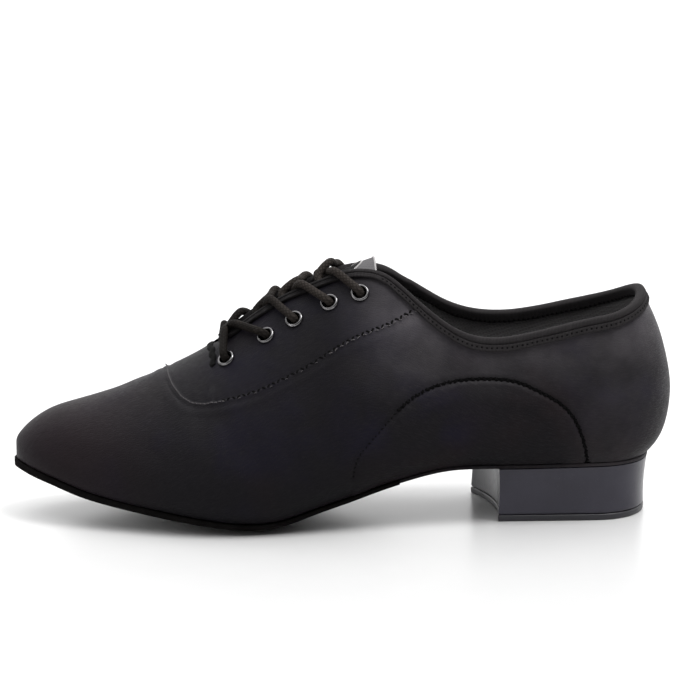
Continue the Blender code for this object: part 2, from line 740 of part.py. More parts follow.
def edge_frames():
    """Points round the opening's edge, from the throat's front along the lateral side and back, with frames.

    Each row holds the edge point, the way down the wall from it, and the wall's outward normal.
    """
    stations = upper_stations()
    stations = stations[share_of(stations) > THROAT_START_SHARE + BINDING_START_SHARE]
    rows = []
    for side in (LATERAL, MEDIAL):
        lengths, edge = sections_up_to_edge(stations, side)
        points = surface_points(stations, side, np.stack([edge - BINDING_DROP / 2, edge], axis=1))
        down = points[:, 0] - points[:, 1]
        down /= np.linalg.norm(down, axis=1)[:, None]
        along = np.gradient(points[:, 1], axis=0)
        along /= np.linalg.norm(along, axis=1)[:, None]
        normal = np.cross(along, down) * side
        normal /= np.linalg.norm(normal, axis=1)[:, None]
        order = slice(None) if side == LATERAL else slice(-2, None, -1)
        rows += [(p[1], d, n) for p, d, n in zip(points[order], down[order], normal[order])]
    return rows


def collar_binding():
    """A folded tape over the collar's and facings' edge, as a U in section."""
    inside = EDGE_WALL + GAP + BINDING_EASE
    outside = GAP + BINDING_EASE
    reach = outside + BINDING_THICKNESS
    inner_drop = BINDING_DROP - BINDING_THICKNESS
    profile = (
        (BINDING_DROP, reach),
        (BINDING_THICKNESS, reach),
        (-reach, BINDING_THICKNESS / 2),
        (-reach, -EDGE_WALL - BINDING_THICKNESS / 2),
        (BINDING_THICKNESS, -inside - BINDING_THICKNESS),
        (inner_drop, -inside - BINDING_THICKNESS),
        (inner_drop, -inside),
        (-GAP, -inside),
        (-GAP, outside),
        (BINDING_DROP, outside),
    )
    rows = edge_frames()
    vertices = []
    for point, down, normal in rows:
        vertices += [(point + down * drop + normal * out).tolist() for drop, out in profile]
    count = len(profile)
    faces = [tuple(range(count)), tuple(range((len(rows) - 1) * count, len(rows) * count))]
    faces += ring_faces(len(rows), count)
    finish = material("binding_tape", (0.04, 0.038, 0.038), 0.7)
    return add_object("collar_binding", mesh_from("collar_binding", vertices, faces), finish)


def eyelet_frame(row, side):
    """Centre of an eyelet on the facing, with the way down the facing and its outward normal."""
    station = np.array([station_at(EYELET_SHARES[row])])
    nearby = station + np.array([-1e-3, 0, 1e-3])
    lengths, edge = sections_up_to_edge(nearby, side)
    ways = edge[:, None] - EYELET_INSET_SHARES[row] * BALL_WIDTH + np.array([[-1e-4, 0, 1e-4]])
    points = surface_points(nearby, side, ways)
    centre = points[1, 1]
    up = points[1, 2] - points[1, 0]
    along = points[2, 1] - points[0, 1]
    normal = np.cross(up, along) * side
    return Vector(centre), Vector(up).normalized(), Vector(normal).normalized()


def eyelets(sides=14):
    """Ten rings, each turned with a rolled rim, that lie on the facings."""
    finish = material("eyelet_metal", (0.02, 0.02, 0.022), 0.3, 0.8)
    bore = EYELET_BORE / 2
    width = EYELET_DIAMETER / 2 - bore
    profile = [(bore + width * across, EYELET_RIM * up) for across, up in EYELET_PROFILE]
    vertices = []
    for angle in np.arange(sides) * 2 * math.pi / sides:
        vertices += [(r * math.cos(angle), r * math.sin(angle), z) for r, z in profile]
    faces = ring_faces(sides, len(profile), closed=True)
    for side, word in ((LATERAL, "lateral"), (MEDIAL, "medial")):
        for row in range(len(EYELET_SHARES)):
            name = f"eyelet_{word}_{row + 1}"
            obj = add_object(name, mesh_from(name, vertices, faces), finish)
            centre, up, normal = eyelet_frame(row, side)
            across = up.cross(normal).normalized()
            turn = Matrix((across, normal.cross(across), normal)).transposed().to_4x4()
            obj.matrix_world = Matrix.Translation(centre + normal * GAP) @ turn


def ridge_point(share, lift):
    """A point above the middle of the throat, at this share of the length."""
    station = np.array([station_at(share)])
    high = section_profiles(station, LATERAL)[0, -1, 1]
    return Vector((place(share), float(column(SECTIONS, "centre", share)) * BALL_WIDTH, high + lift))


def edge_point(share, side, out, inwards):
    """A point beside the facing's edge: out along its normal and inwards over the throat."""
    nearby = np.array([station_at(share)]) + np.array([-1e-3, 0, 1e-3])
    lengths, edge = sections_up_to_edge(nearby, side)
    points = surface_points(nearby, side, edge[:, None] - np.array([[BINDING_DROP / 2, 0]]))
    up = points[1, 1] - points[1, 0]
    normal = Vector(np.cross(up, points[2, 1] - points[0, 1]) * side).normalized()
    return Vector(points[1, 1]) + normal * out + Vector(up).normalized() * inwards


def strand_points(row, side, lift):
    """One strand of a crossing: from the eyelet that it enters, over that edge, to between the facings."""
    low_share = EYELET_SHARES[row - 1]
    spacing = EYELET_SHARES[row] - low_share
    centre, _, normal = eyelet_frame(row, side)
    radius = LACE_DIAMETER / 2
    arch = LACE_DIAMETER * STRAND_ARCH_SHARE
    rest = radius + BINDING_THICKNESS + BINDING_EASE + 3 * GAP
    beside = radius + BINDING_THICKNESS + BINDING_EASE + 4 * GAP
    start = centre + normal * (EYELET_RIM + radius + 2 * GAP)
    over = edge_point(low_share + STRAND_OVER_SHARE * spacing, side, rest, -BINDING_EASE)
    middle = ridge_point(low_share + STRAND_MIDDLE_SHARE * spacing, lift)
    inside = edge_point(low_share + STRAND_INSIDE_SHARE * spacing, -side, -EDGE_WALL / 2, beside)
    return [
        start,
        start.lerp(over, 0.5) + normal * arch,
        over,
        over.lerp(middle, 0.5) + Vector((0, 0, arch)),
        middle,
        middle.lerp(inside, STRAND_END_SHARE),
    ]


def tube(name, points, radius, sides=8, per_span=2):
    """A closed round tube along a smooth curve through the points."""
    knots = np.arange(len(points))
    curves = [Smooth(knots, [point[axis] for point in points]) for axis in range(3)]
    at = np.linspace(0, len(points) - 1, (len(points) - 1) * per_span + 1)
    line = np.stack([curve(at) for curve in curves], -1)
    shape = bpy.data.curves.new(name, "CURVE")
    shape.dimensions = "3D"
    shape.bevel_depth = radius
    shape.bevel_resolution = sides // 4
    shape.use_fill_caps = True
    spline = shape.splines.new("POLY")
    spline.points.add(len(line) - 1)
    for point, at_place in zip(spline.points, line):
        point.co = (*at_place, 1)
    holder = bpy.data.objects.new(name, shape)
    bpy.context.scene.collection.objects.link(holder)
    bpy.context.view_layer.update()
    mesh = bpy.data.meshes.new_from_object(holder.evaluated_get(bpy.context.evaluated_depsgraph_get()))
    bpy.data.objects.remove(holder, do_unlink=True)
    clean = bmesh.new()
    clean.from_mesh(mesh)
    bmesh.ops.remove_doubles(clean, verts=clean.verts, dist=1e-6)
    clean.to_mesh(mesh)
    clean.free()
    mesh.name = name
    return mesh


def lace_crossings():
    """Four crossings of the lace, each two strands joined where they meet over the throat."""
    finish = material("lace_cord", (0.035, 0.032, 0.03), 0.85)
    radius = LACE_DIAMETER / 2
    under_lift = LACE_HUMP - LACE_DIAMETER * UNDER_STRAND_SHARE
    for row in range(1, len(EYELET_SHARES)):
        name = f"lace_crossing_{row}"
        over = add_object(name, tube(name, strand_points(row, MEDIAL, LACE_HUMP), radius), finish)
        under_name = f"under_strand_{row}"
        under_mesh = tube(under_name, strand_points(row, LATERAL, under_lift), radius)
        under = bpy.data.objects.new(under_name, under_mesh)
        bpy.context.scene.collection.objects.link(under)
        under.hide_render = True
        under.display_type = "WIRE"
        join = over.modifiers.new("join", "BOOLEAN")
        join.operation = "UNION"
        join.object = under


def main():
    clear_scene()
    upper()
    outsole()
    waist_cover()
    insole()
    heel_block()
    heel_top_piece()
    tongue()
    collar_binding()
    eyelets()
    lace_crossings()


main()
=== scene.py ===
"""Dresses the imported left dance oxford: cloth, seams, stitches, laces, lacquered heel and a plain studio.

Metres, +Z up. The toe points along -X, the lateral side is -Y, and the floor is at Z = 0.
"""

import math

import bmesh
import bpy
import numpy as np
from bpy.props import FloatProperty, FloatVectorProperty, PointerProperty
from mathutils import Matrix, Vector


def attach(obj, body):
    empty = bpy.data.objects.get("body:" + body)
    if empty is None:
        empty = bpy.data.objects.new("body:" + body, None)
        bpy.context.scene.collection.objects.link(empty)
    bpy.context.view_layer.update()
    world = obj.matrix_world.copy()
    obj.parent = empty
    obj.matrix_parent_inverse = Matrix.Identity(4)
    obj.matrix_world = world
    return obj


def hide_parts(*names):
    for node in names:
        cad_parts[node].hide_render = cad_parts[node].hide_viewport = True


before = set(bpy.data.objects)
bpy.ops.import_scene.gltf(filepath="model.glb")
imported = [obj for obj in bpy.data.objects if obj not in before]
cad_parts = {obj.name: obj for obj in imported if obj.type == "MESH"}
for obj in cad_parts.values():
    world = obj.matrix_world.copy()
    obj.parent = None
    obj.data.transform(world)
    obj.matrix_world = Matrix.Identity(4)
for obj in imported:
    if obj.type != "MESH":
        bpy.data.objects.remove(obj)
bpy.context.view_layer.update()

bl_info = {
    "name": "Dance oxford",
    "version": (1, 0, 0),
    "blender": (4, 5, 0),
    "location": "View3D > Sidebar > Oxford",
    "description": "Dresses a dance oxford with cloth, stitches, laces, a lacquered heel and a studio",
    "category": "Object",
}

# Sizes of the last and the pieces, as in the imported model
LENGTH = 0.290
BALL_WIDTH = 0.100
INSTEP_HEIGHT = 0.100
COLLAR_HEIGHT = 0.0743
TOE_SPRING = 0.0215
HEEL_HEIGHT = 0.0244
SOLE_THICKNESS = 0.0032
WALL = 0.0021
EDGE_WALL = 0.0016
EDGE_TAPER = 0.009
INSOLE_THICKNESS = 0.0022
INSOLE_CLEARANCE = 0.0008
TONGUE_THICKNESS = 0.0020
TONGUE_CLEARANCE = 0.0017
BINDING_THICKNESS = 0.0007
BINDING_DROP = 0.0050
BINDING_EASE = 0.0005
SEAM_STEP = 0.0006
EYELET_DIAMETER = 0.0082
EYELET_BORE = 0.0052
EYELET_RIM = 0.0011
TOP_PIECE_THICKNESS = 0.0028
BREAST_HOLLOW = 0.0045
BREAST_SLANT = 0.0055
HEEL_TAPER = 0.0012
SOLE_LIP = 0.0009
WAIST_LIP = 0.0002
SOLE_SPLIT_STEP = 0.0004
GAP = 0.0003

# Places along the shoe, as shares of its length from the toe tip
HEEL_PIVOT_SHARE = 0.879
THROAT_START_SHARE = 0.300
BINDING_START_SHARE = 0.012
SOLE_SPLIT_SHARE = 0.575
BREAST_SHARE = 0.7155
TONGUE_FRONT_SHARE = 0.262
TONGUE_TOP_SHARE = 0.546
SEAM_FRONT_SHARE = 0.232
SEAM_END_SHARE = 0.605
EYELET_SHARES = (0.320, 0.379, 0.421, 0.473, 0.518)
EYELET_INSET_SHARES = (0.160, 0.165, 0.155, 0.135, 0.115)

# Sections from toe to heel. Widths are shares of BALL_WIDTH from the centre line, heights are
# shares of INSTEP_HEIGHT above the sole's lower edge, and angles are in degrees.
SECTION_COLUMNS = (
    "along", "centre", "feather_out", "feather_in", "full_out", "full_in", "full_rise",
    "top_rise", "top_half", "top_angle", "rise_pull", "reach_pull",
)
SECTION_ROWS = (
    (0.000, 0.050, 0.000, 0.000, 0.000, 0.000, 0.072, 0.102, 0.000, 0, 0.50, 0.56),
    (0.010, 0.050, 0.087, 0.085, 0.096, 0.094, 0.073, 0.164, 0.000, 0, 0.50, 0.56),
    (0.030, 0.052, 0.156, 0.144, 0.172, 0.160, 0.084, 0.233, 0.000, 0, 0.50, 0.56),
    (0.060, 0.054, 0.219, 0.196, 0.244, 0.220, 0.098, 0.306, 0.000, 0, 0.50, 0.56),
    (0.100, 0.055, 0.283, 0.247, 0.313, 0.276, 0.119, 0.376, 0.000, 0, 0.49, 0.55),
    (0.150, 0.055, 0.347, 0.297, 0.384, 0.334, 0.137, 0.451, 0.000, 0, 0.46, 0.52),
    (0.200, 0.052, 0.396, 0.336, 0.440, 0.380, 0.152, 0.534, 0.000, 0, 0.42, 0.49),
    (0.250, 0.046, 0.440, 0.369, 0.490, 0.432, 0.169, 0.624, 0.000, 0, 0.38, 0.45),
    (0.300, 0.036, 0.464, 0.382, 0.518, 0.461, 0.187, 0.724, 0.000, 0, 0.35, 0.42),
    (0.350, 0.026, 0.464, 0.370, 0.524, 0.465, 0.213, 0.848, 0.000, 0, 0.35, 0.40),
    (0.400, 0.016, 0.436, 0.336, 0.510, 0.446, 0.228, 0.944, 0.000, 0, 0.35, 0.42),
    (0.450, 0.008, 0.394, 0.294, 0.486, 0.414, 0.218, 0.983, 0.000, 0, 0.36, 0.49),
    (0.500, 0.002, 0.352, 0.262, 0.458, 0.392, 0.207, 1.014, 0.000, 0, 0.38, 0.57),
    (0.550, 0.000, 0.319, 0.242, 0.430, 0.374, 0.193, 1.022, 0.020, 6, 0.39, 0.57),
    (0.600, 0.000, 0.298, 0.240, 0.404, 0.362, 0.180, 1.005, 0.080, 20, 0.38, 0.48),
    (0.650, 0.000, 0.289, 0.253, 0.382, 0.354, 0.171, 0.952, 0.150, 40, 0.37, 0.42),
    (0.700, 0.000, 0.287, 0.270, 0.364, 0.348, 0.185, 0.890, 0.206, 57, 0.36, 0.40),
    (0.760, 0.000, 0.289, 0.283, 0.350, 0.344, 0.205, 0.840, 0.238, 67, 0.38, 0.42),
    (0.820, 0.000, 0.293, 0.292, 0.344, 0.343, 0.222, 0.807, 0.250, 71, 0.38, 0.44),
    (0.879, 0.000, 0.294, 0.294, 0.342, 0.342, 0.240, 0.787, 0.252, 72, 0.38, 0.45),
    (1.000, 0.000, 0.254, 0.254, 0.351, 0.351, 0.300, 0.786, 0.185, 52, 0.40, 0.45),
)

# The sole's line: shares of TOE_SPRING and HEEL_HEIGHT, the crown of its lower face as a share
# of BALL_WIDTH, and its thickness at the edge as a share of SOLE_THICKNESS.
SOLE_COLUMNS = ("along", "toe_rise", "heel_rise", "crown", "substance")
SOLE_ROWS = (
    (0.000, 1.000, 0.000, 0.003, 1.15),
    (0.010, 0.968, 0.000, 0.004, 1.15),
    (0.030, 0.880, 0.000, 0.005, 1.15),
    (0.060, 0.750, 0.000, 0.007, 1.12),
    (0.100, 0.568, 0.000, 0.010, 1.08),
    (0.150, 0.400, 0.000, 0.015, 1.02),
    (0.200, 0.260, 0.000, 0.020, 1.00),
    (0.250, 0.140, 0.000, 0.024, 0.95),
    (0.300, 0.022, 0.000, 0.031, 0.90),
    (0.350, -0.050, 0.000, 0.035, 0.86),
    (0.400, -0.020, 0.042, 0.031, 0.82),
    (0.450, 0.000, 0.232, 0.021, 0.80),
    (0.500, 0.000, 0.410, 0.018, 0.78),
    (0.550, 0.000, 0.606, 0.014, 0.76),
    (0.600, 0.000, 0.785, 0.009, 0.75),
    (0.650, 0.000, 0.922, 0.004, 0.75),
    (0.700, 0.000, 0.960, 0.001, 0.75),
    (0.760, 0.000, 0.964, 0.000, 0.75),
    (0.820, 0.000, 0.975, 0.000, 0.75),
    (0.879, 0.000, 0.988, 0.000, 0.75),
    (1.000, 0.000, 1.000, 0.000, 0.75),
)

# The collar's edge, as shares of COLLAR_HEIGHT above the heel seat
COLLAR_COLUMNS = ("along", "out", "in")
COLLAR_ROWS = (
    (0.500, 1.210, 1.230),
    (0.530, 1.179, 1.192),
    (0.552, 1.150, 1.166),
    (0.577, 1.075, 1.094),
    (0.603, 0.980, 1.010),
    (0.636, 0.872, 0.926),
    (0.660, 0.813, 0.870),
    (0.697, 0.766, 0.814),
    (0.730, 0.763, 0.792),
    (0.772, 0.789, 0.793),
    (0.818, 0.828, 0.820),
    (0.863, 0.866, 0.856),
    (0.900, 0.890, 0.884),
    (0.934, 0.921, 0.917),
    (0.976, 0.971, 0.970),
    (1.000, 1.000, 1.000),
)

# Half of the opening between the facings, as shares of BALL_WIDTH
THROAT_COLUMNS = ("along", "half")
THROAT_ROWS = (
    (0.300, 0.000),
    (0.306, 0.036),
    (0.318, 0.054),
    (0.340, 0.066),
    (0.380, 0.078),
    (0.420, 0.092),
    (0.460, 0.112),
    (0.500, 0.136),
    (0.540, 0.162),
    (0.600, 0.205),
)

# The facing panel's seam: how far it runs below the ridge along the surface, as shares of BALL_WIDTH
SEAM_COLUMNS = ("along", "drop")
SEAM_ROWS = (
    (0.232, 0.000),
    (0.237, 0.155),
    (0.251, 0.280),
    (0.269, 0.352),
    (0.293, 0.396),
    (0.322, 0.436),
    (0.370, 0.492),
    (0.400, 0.506),
    (0.450, 0.500),
    (0.490, 0.482),
    (0.530, 0.460),
    (0.560, 0.424),
    (0.580, 0.380),
    (0.605, 0.318),
)

# How far the tongue reaches to each side of the ridge, as shares of BALL_WIDTH
TONGUE_COLUMNS = ("along", "reach")
TONGUE_ROWS = (
    (0.262, 0.140),
    (0.300, 0.195),
    (0.340, 0.240),
    (0.440, 0.270),
    (0.546, 0.300),
)

# How the lower part of a section bulges out from the feather, as shares of its own width and height
FEATHER_PULL_OUT_SHARE = 0.62
FEATHER_PULL_UP_SHARE = 0.18
FULL_PULL_SHARE = 0.55

TOE_CROWDING_SHARE = 0.16
PIVOT_STATION = 34 / 41
PROFILE_STEPS = 150
CORNER_SOFTNESS = 0.0030
NARROW_SOLE = 0.020
EDGE_FLAT_SHARE = 0.35
THREAD_FLATNESS = 0.8
TUCK = 0.0024
OUTER_HOLE = 0.00325
INNER_HOLE = 0.0033
MERGE_DISTANCE = 2e-6
FINE_STEP = 0.0005
HEEL_STEP = 0.0002
HEEL_HOLLOW = 0.0005
PROBE = 1e-3
PROBES = np.array([-PROBE, 0, PROBE])

LATERAL = -1
MEDIAL = 1

# The stitched arch on each quarter, over the waist: shares of LENGTH and of INSTEP_HEIGHT
ARCH_ROWS = (
    (0.5030, 0.250),
    (0.5085, 0.325),
    (0.5290, 0.403),
    (0.5480, 0.462),
    (0.5760, 0.545),
    (0.6190, 0.618),
    (0.6610, 0.645),
    (0.7070, 0.648),
    (0.7500, 0.630),
    (0.7850, 0.584),
    (0.8140, 0.534),
    (0.8330, 0.475),
    (0.8450, 0.405),
    (0.8530, 0.334),
    (0.8580, 0.260),
)

# Creases and slack in the cloth. Each runs from one place to another, in shares of LENGTH along and
# of INSTEP_HEIGHT up ("wall" rows) or of BALL_WIDTH from the centre line ("top" rows). The bow and
# width are shares of BALL_WIDTH, and the depth is a share of the crease depth, negative for a ridge.
CREASE_COLUMNS = ("seen", "from_along", "from_up", "to_along", "to_up", "bow", "width", "depth")
CREASE_ROWS = (
    ("wall", 0.262, 0.560, 0.292, 0.330, -0.030, 0.045, 0.70),
    ("wall", 0.290, 0.560, 0.330, 0.300, -0.030, 0.050, 0.80),
    ("wall", 0.300, 0.615, 0.296, 0.545, 0.004, 0.012, -0.75),
    ("wall", 0.345, 0.520, 0.385, 0.250, 0.025, 0.060, 0.65),
    ("wall", 0.405, 0.480, 0.440, 0.200, 0.020, 0.055, 0.55),
    ("wall", 0.452, 0.520, 0.500, 0.240, 0.020, 0.060, 0.60),
    ("wall", 0.520, 0.700, 0.600, 0.620, 0.020, 0.050, 0.45),
    ("wall", 0.560, 0.780, 0.650, 0.690, 0.015, 0.045, 0.45),
    ("wall", 0.800, 0.780, 0.880, 0.620, 0.030, 0.070, 0.55),
    ("wall", 0.850, 0.480, 0.960, 0.520, 0.020, 0.080, 0.45),
    ("wall", 0.880, 0.360, 0.970, 0.400, 0.010, 0.060, 0.40),
    ("wall", 0.110, 0.300, 0.240, 0.210, 0.020, 0.060, 0.55),
    ("wall", 0.180, 0.400, 0.300, 0.260, 0.020, 0.050, 0.45),
    ("wall", 0.060, 0.360, 0.120, 0.300, 0.010, 0.040, 0.40),
    ("top", 0.205, 0.020, 0.190, 0.300, 0.030, 0.060, 0.45),
    ("top", 0.160, 0.080, 0.150, 0.260, 0.020, 0.050, 0.35),
)
CREASE_LIP_SHARE = 0.45
CREASE_LIP_AT = 1.7

# Relief of the cloth beside its seams, in metres: height, distance and width of each swell. The
# distance is inside the facing's seam, or outside the arch.
FACING_EDGE = 0.0006
FACING_SWELLS = ((-0.00025, -0.0021, 0.0006), (0.00022, -0.0045, 0.0016))
PUCKER_PITCH = 0.0047
PUCKER_REACH = 0.0035
ARCH_TROUGH = (-0.00065, 0.0, 0.0010)
ARCH_LIPS = ((0.00022, -0.0024, 0.0014), (0.00018, 0.0022, 0.0013))
ARCH_PAD = (0.0005, -0.007, 0.004)
GATHER_PITCH = 0.0052
LINE_REACH = 0.012

# The span of shares in which the upper's rows of points follow the facing's seam, and the share of
# the edge's height that they keep behind it
ROWS_FROM = 0.255
ROWS_TO = 0.575
ROWS_BEHIND = 0.66
ROW_MARGIN = 0.0014
ROWS_FADED = 0.68
ROWS_READ = 0.8

# The eyelet's section, from its outer edge over the rim and down the bore: shares of the rim's width
# and of its height
EYELET_TURNING = (
    (1.00, 0.0), (1.00, 0.20), (0.95, 0.48), (0.84, 0.75), (0.68, 0.93), (0.50, 1.00), (0.32, 0.96),
    (0.16, 0.82), (0.05, 0.58), (0.00, 0.25), (0.00, -1.0), (0.00, -2.30), (0.25, -2.75),
    (0.60, -2.85), (0.80, -2.55),
)

# How finely the pieces are divided along the shoe
SKIN_STATIONS = 392
CROWDED_STATIONS = 44
LINING_STATIONS = 230
BINDING_STATIONS = 520
SLAB_STATIONS = 260
SEAM_STATIONS = 420
LACE_STATIONS = 1400

# Where the rows of stitches stop: below the opening's edge, and over the sole
SEAM_STOP = 0.004
ARCH_STOP = 0.0006

# The thread band at the throat's front: where it lies, how far it bows and sways as shares of the
# length, its reach down each side, its stitches and its core
TACK_SHARE = 0.2955
TACK_BOW_SHARE = 0.005
TACK_SWAY_SHARE = 0.0011
TACK_REACH = 0.0200
TACK_PITCH = 0.0009
TACK_STITCH = 0.0031
TACK_RADIUS = 0.0014

# The folded tape's section, from its free edge outside over the fold to its edge inside: shares of
# its drop, and metres over the height that each run keeps
TAPE_UNDER = ((0.90, -0.0001), (0.99, -0.0001), (1.0, 0.0001))
TAPE_OUTSIDE = (
    (0.98, -0.0002), (0.92, 0.0), (0.80, 0.0), (0.70, -0.0001), (0.60, 0.0), (0.48, 0.0),
    (0.42, -0.0001), (0.36, -0.0006), (0.30, -0.0002), (0.22, 0.00008), (0.10, 0.00005),
)
TAPE_INSIDE = ((0.30, 0.0), (0.60, 0.0), (0.78, 0.0001))
TAPE_DROP_AT_FACING = 0.0038
TAPE_DROP_GAIN = 0.0012
TAPE_STITCH_PITCH = 0.0022
TAPE_STITCH = 0.0012
TAPE_SEWN_SHARE = 0.552
TAPE_RIB_PITCH = 0.00062
TAPE_THREAD_PITCH = 0.00045

# The tongue's rounded edge, and the grey patch on it: half its width, how far its pointed front reaches
# from its middle, its height, its cord, and its front, its point and its back as shares of the length
TONGUE_EDGE_DROP = 0.0009
PATCH_HALF = 0.0215
PATCH_POINT_REACH = 0.020
PATCH_STAND = 0.00045
PATCH_CORD_RADIUS = 0.00045
PATCH_FRONT_SHARE = 0.5262
PATCH_POINT_SHARE = 0.034
PATCH_BACK_SHARE = 0.5445

# The top piece's edge: heights, and how far it is set in there
TOP_PIECE_EDGE = (
    (0.0, 0.0004), (0.0002, 0.0001), (0.0006, 0.0), (0.0014, -0.0001), (0.0022, -0.0001),
    (0.0026, 0.0), (0.0028, 0.0003),
)

# The lace over the throat: heights over the ridge, and places as shares of the eyelets' spacing
LACE_HUMPS = (0.0015, 0.0003, 0.0003, 0.0010)
UNDER_STRAND_DROP = 0.0031
UNDER_STRAND_SHARES = (0.32, -0.02, -0.30)
UPPER_STRAND_SHARES = (0.55, 0.08, -0.34)
STRAND_ARCH_SHARE = 0.2
STRAND_STAND_SHARE = 0.55
STRAND_RISE_SHARE = 0.45
STRAND_LEAVE_SHARE = 0.10
STRAND_SAG = 0.0002
DIVE_SHARE = 0.02
DIVE_DEPTH = 0.0021
DIVE_REACH = 0.0045
HIDDEN_DEPTH = 0.0046
BORE_DEPTH = 0.0012
SQUEEZED = 0.58
PASSAGE_DEPTH = 0.0040


def setting(name, description, default, unit="LENGTH"):
    """A number property, in metres unless it says another unit."""
    return FloatProperty(name=name, description=description, default=default, unit=unit)


def colour(name, description, value):
    """A linear colour property."""
    return FloatVectorProperty(
        name=name, description=description, default=value, subtype="COLOR", size=3, min=0.0, max=1.0
    )


class OxfordSizes(bpy.types.PropertyGroup):
    """Sizes of the dressing."""

    stitch_length: setting("Stitch length", "Length of one lockstitch", 0.0019)
    stitch_gap: setting("Stitch gap", "Cloth shown between two stitches", 0.0005)
    thread_width: setting("Thread width", "Width of the sewing thread", 0.00055)
    cord_width: setting("Seam cord width", "Width of the corded seam of the arch", 0.0016)
    lace_diameter: setting("Lace diameter", "Diameter of the round lace", 0.0035)
    crease_depth: setting("Crease depth", "Depth of the deepest crease", 0.0008)
    slack_depth: setting("Slack depth", "Height of the cloth's soft unevenness", 0.00012)
    pucker_depth: setting("Pucker depth", "Height of the puckers beside a seam", 0.00012)
    edge_round: setting("Sole edge rounding", "Radius of the sole's edges", 0.0008)
    heel_round: setting("Heel corner rounding", "Radius of the heel's front corners", 0.0012)
    weave_pitch: setting("Weave pitch", "Distance between the cloth's threads", 0.00045)


class OxfordColours(bpy.types.PropertyGroup):
    """Colours of the dressing, linear."""

    cloth: colour("Upper cloth", "Black cotton satin", (0.0062, 0.0057, 0.0070))
    cloth_light: colour("Raised threads", "Where the weave catches light", (0.0165, 0.0152, 0.0165))
    thread: colour("Thread", "Sewing thread of the seams", (0.0016, 0.0015, 0.0017))
    # Painted highlight: pale thread for the seams' lit fold edge and stitches that catch the light.
    thread_light: colour("Pale thread", "Thread that catches the light", (0.0620, 0.0580, 0.0600))
    binding: colour("Binding", "Ribbed tape on the edges", (0.0180, 0.0165, 0.0172))
    lace: colour("Lace", "Round braided lace", (0.0185, 0.0155, 0.0138))
    lining: colour("Lining", "Cloth on the inside", (0.1000, 0.0970, 0.0980))
    insole: colour("Insole", "Padded sock of the insole", (0.0200, 0.0200, 0.0210))
    tongue: colour("Tongue", "Outside of the tongue", (0.0060, 0.0060, 0.0062))
    label: colour("Tongue patch", "Bare grey patch at the tongue's top", (0.085, 0.082, 0.085))
    label_edge: colour("Tongue patch edge", "Pale edge stitching of the patch", (0.34, 0.33, 0.33))
    suede: colour("Sole suede", "Napped dark suede", (0.0040, 0.0036, 0.0036))
    lacquer: colour("Heel lacquer", "Slate lacquer of the heel", (0.0300, 0.0285, 0.0385))
    top_piece: colour("Top piece", "Hard rubber under the heel", (0.0180, 0.0172, 0.0215))
    eyelet: colour("Eyelets", "Black nickel of the rings", (0.12, 0.117, 0.12))
    floor: colour("Floor", "Plain studio floor", (0.53, 0.53, 0.53))


class OxfordStudio(bpy.types.PropertyGroup):
    """Light and camera of the studio."""

    overhead: setting("Overhead", "Strength of the light from above", 2.4, "NONE")
    around: setting("Around", "Strength of the light from the sides", 0.24, "NONE")
    backdrop: setting("Backdrop", "Strength of the pale band at the horizon", 1.0, "NONE")
    front_strength: setting("Front light", "Strength of the high light", 2.6, "NONE")
    rear: setting("Rear surround", "Strength of the surround behind the shoe", 1.45, "NONE")
    toe_power: setting("Toe light", "Power of the light off the toe", 3.2, "POWER")
    azimuth: setting("Azimuth", "Camera's angle round the shoe", math.radians(-4.0), "ROTATION")
    elevation: setting("Elevation", "Camera's angle above the floor", math.radians(10.5), "ROTATION")
    distance: setting("Distance", "Camera's distance", 1.0)
    aim_along: setting("Aim along", "Where the camera aims, along X", 0.0025)
    aim_height: setting("Aim height", "Where the camera aims, above the floor", 0.072)
    lens: setting("Lens", "Focal length in millimetres, 36 mm sensor", 116.64, "NONE")


class Smooth:
    """A natural cubic spline through given rows, with its knots where the rows lie."""

    def __init__(self, knots, values):
        self.knots = np.asarray(knots, float)
        self.values = np.asarray(values, float)
        count = len(self.knots)
        width = np.diff(self.knots)
        slope = np.diff(self.values) / width
        matrix = np.eye(count)
        right = np.zeros(count)
        for i in range(1, count - 1):
            matrix[i, i - 1] = width[i - 1]
            matrix[i, i] = 2 * (width[i - 1] + width[i])
            matrix[i, i + 1] = width[i]
            right[i] = 6 * (slope[i] - slope[i - 1])
        self.bend = np.linalg.solve(matrix, right)

    def __call__(self, at):
        at = np.clip(np.asarray(at, float), self.knots[0], self.knots[-1])
        i = np.clip(np.searchsorted(self.knots, at) - 1, 0, len(self.knots) - 2)
        width = self.knots[i + 1] - self.knots[i]
        left = (self.knots[i + 1] - at) / width
        right = 1 - left
        bend = (left**3 - left) * self.bend[i] + (right**3 - right) * self.bend[i + 1]
        return left * self.values[i] + right * self.values[i + 1] + bend * width**2 / 6


def table(columns, rows, start=0.0):
    """Each column as a smooth curve of the square root of the share past start."""
    knots = np.sqrt(np.array([row[0] for row in rows]) - start)
    return {name: Smooth(knots, [row[i] for row in rows]) for i, name in enumerate(columns) if i}


SECTIONS = table(SECTION_COLUMNS, SECTION_ROWS)
SOLE = table(SOLE_COLUMNS, SOLE_ROWS)
COLLAR = table(COLLAR_COLUMNS, COLLAR_ROWS)
THROAT = table(THROAT_COLUMNS, THROAT_ROWS, THROAT_START_SHARE)
SEAM = table(SEAM_COLUMNS, SEAM_ROWS, SEAM_FRONT_SHARE)
TONGUE = table(TONGUE_COLUMNS, TONGUE_ROWS)


def column(tab, name, share):
    return tab[name](np.sqrt(share))


def smoothstep(value, low, high):
    t = np.clip((value - low) / (high - low), 0, 1)
    return t * t * (3 - 2 * t)


# The last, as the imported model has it
def turn_of(station):
    """The angle of a station's section round the heel, zero ahead of the pivot."""
    return np.clip((station - PIVOT_STATION) / (1 - PIVOT_STATION), 0, 1) * math.pi / 2


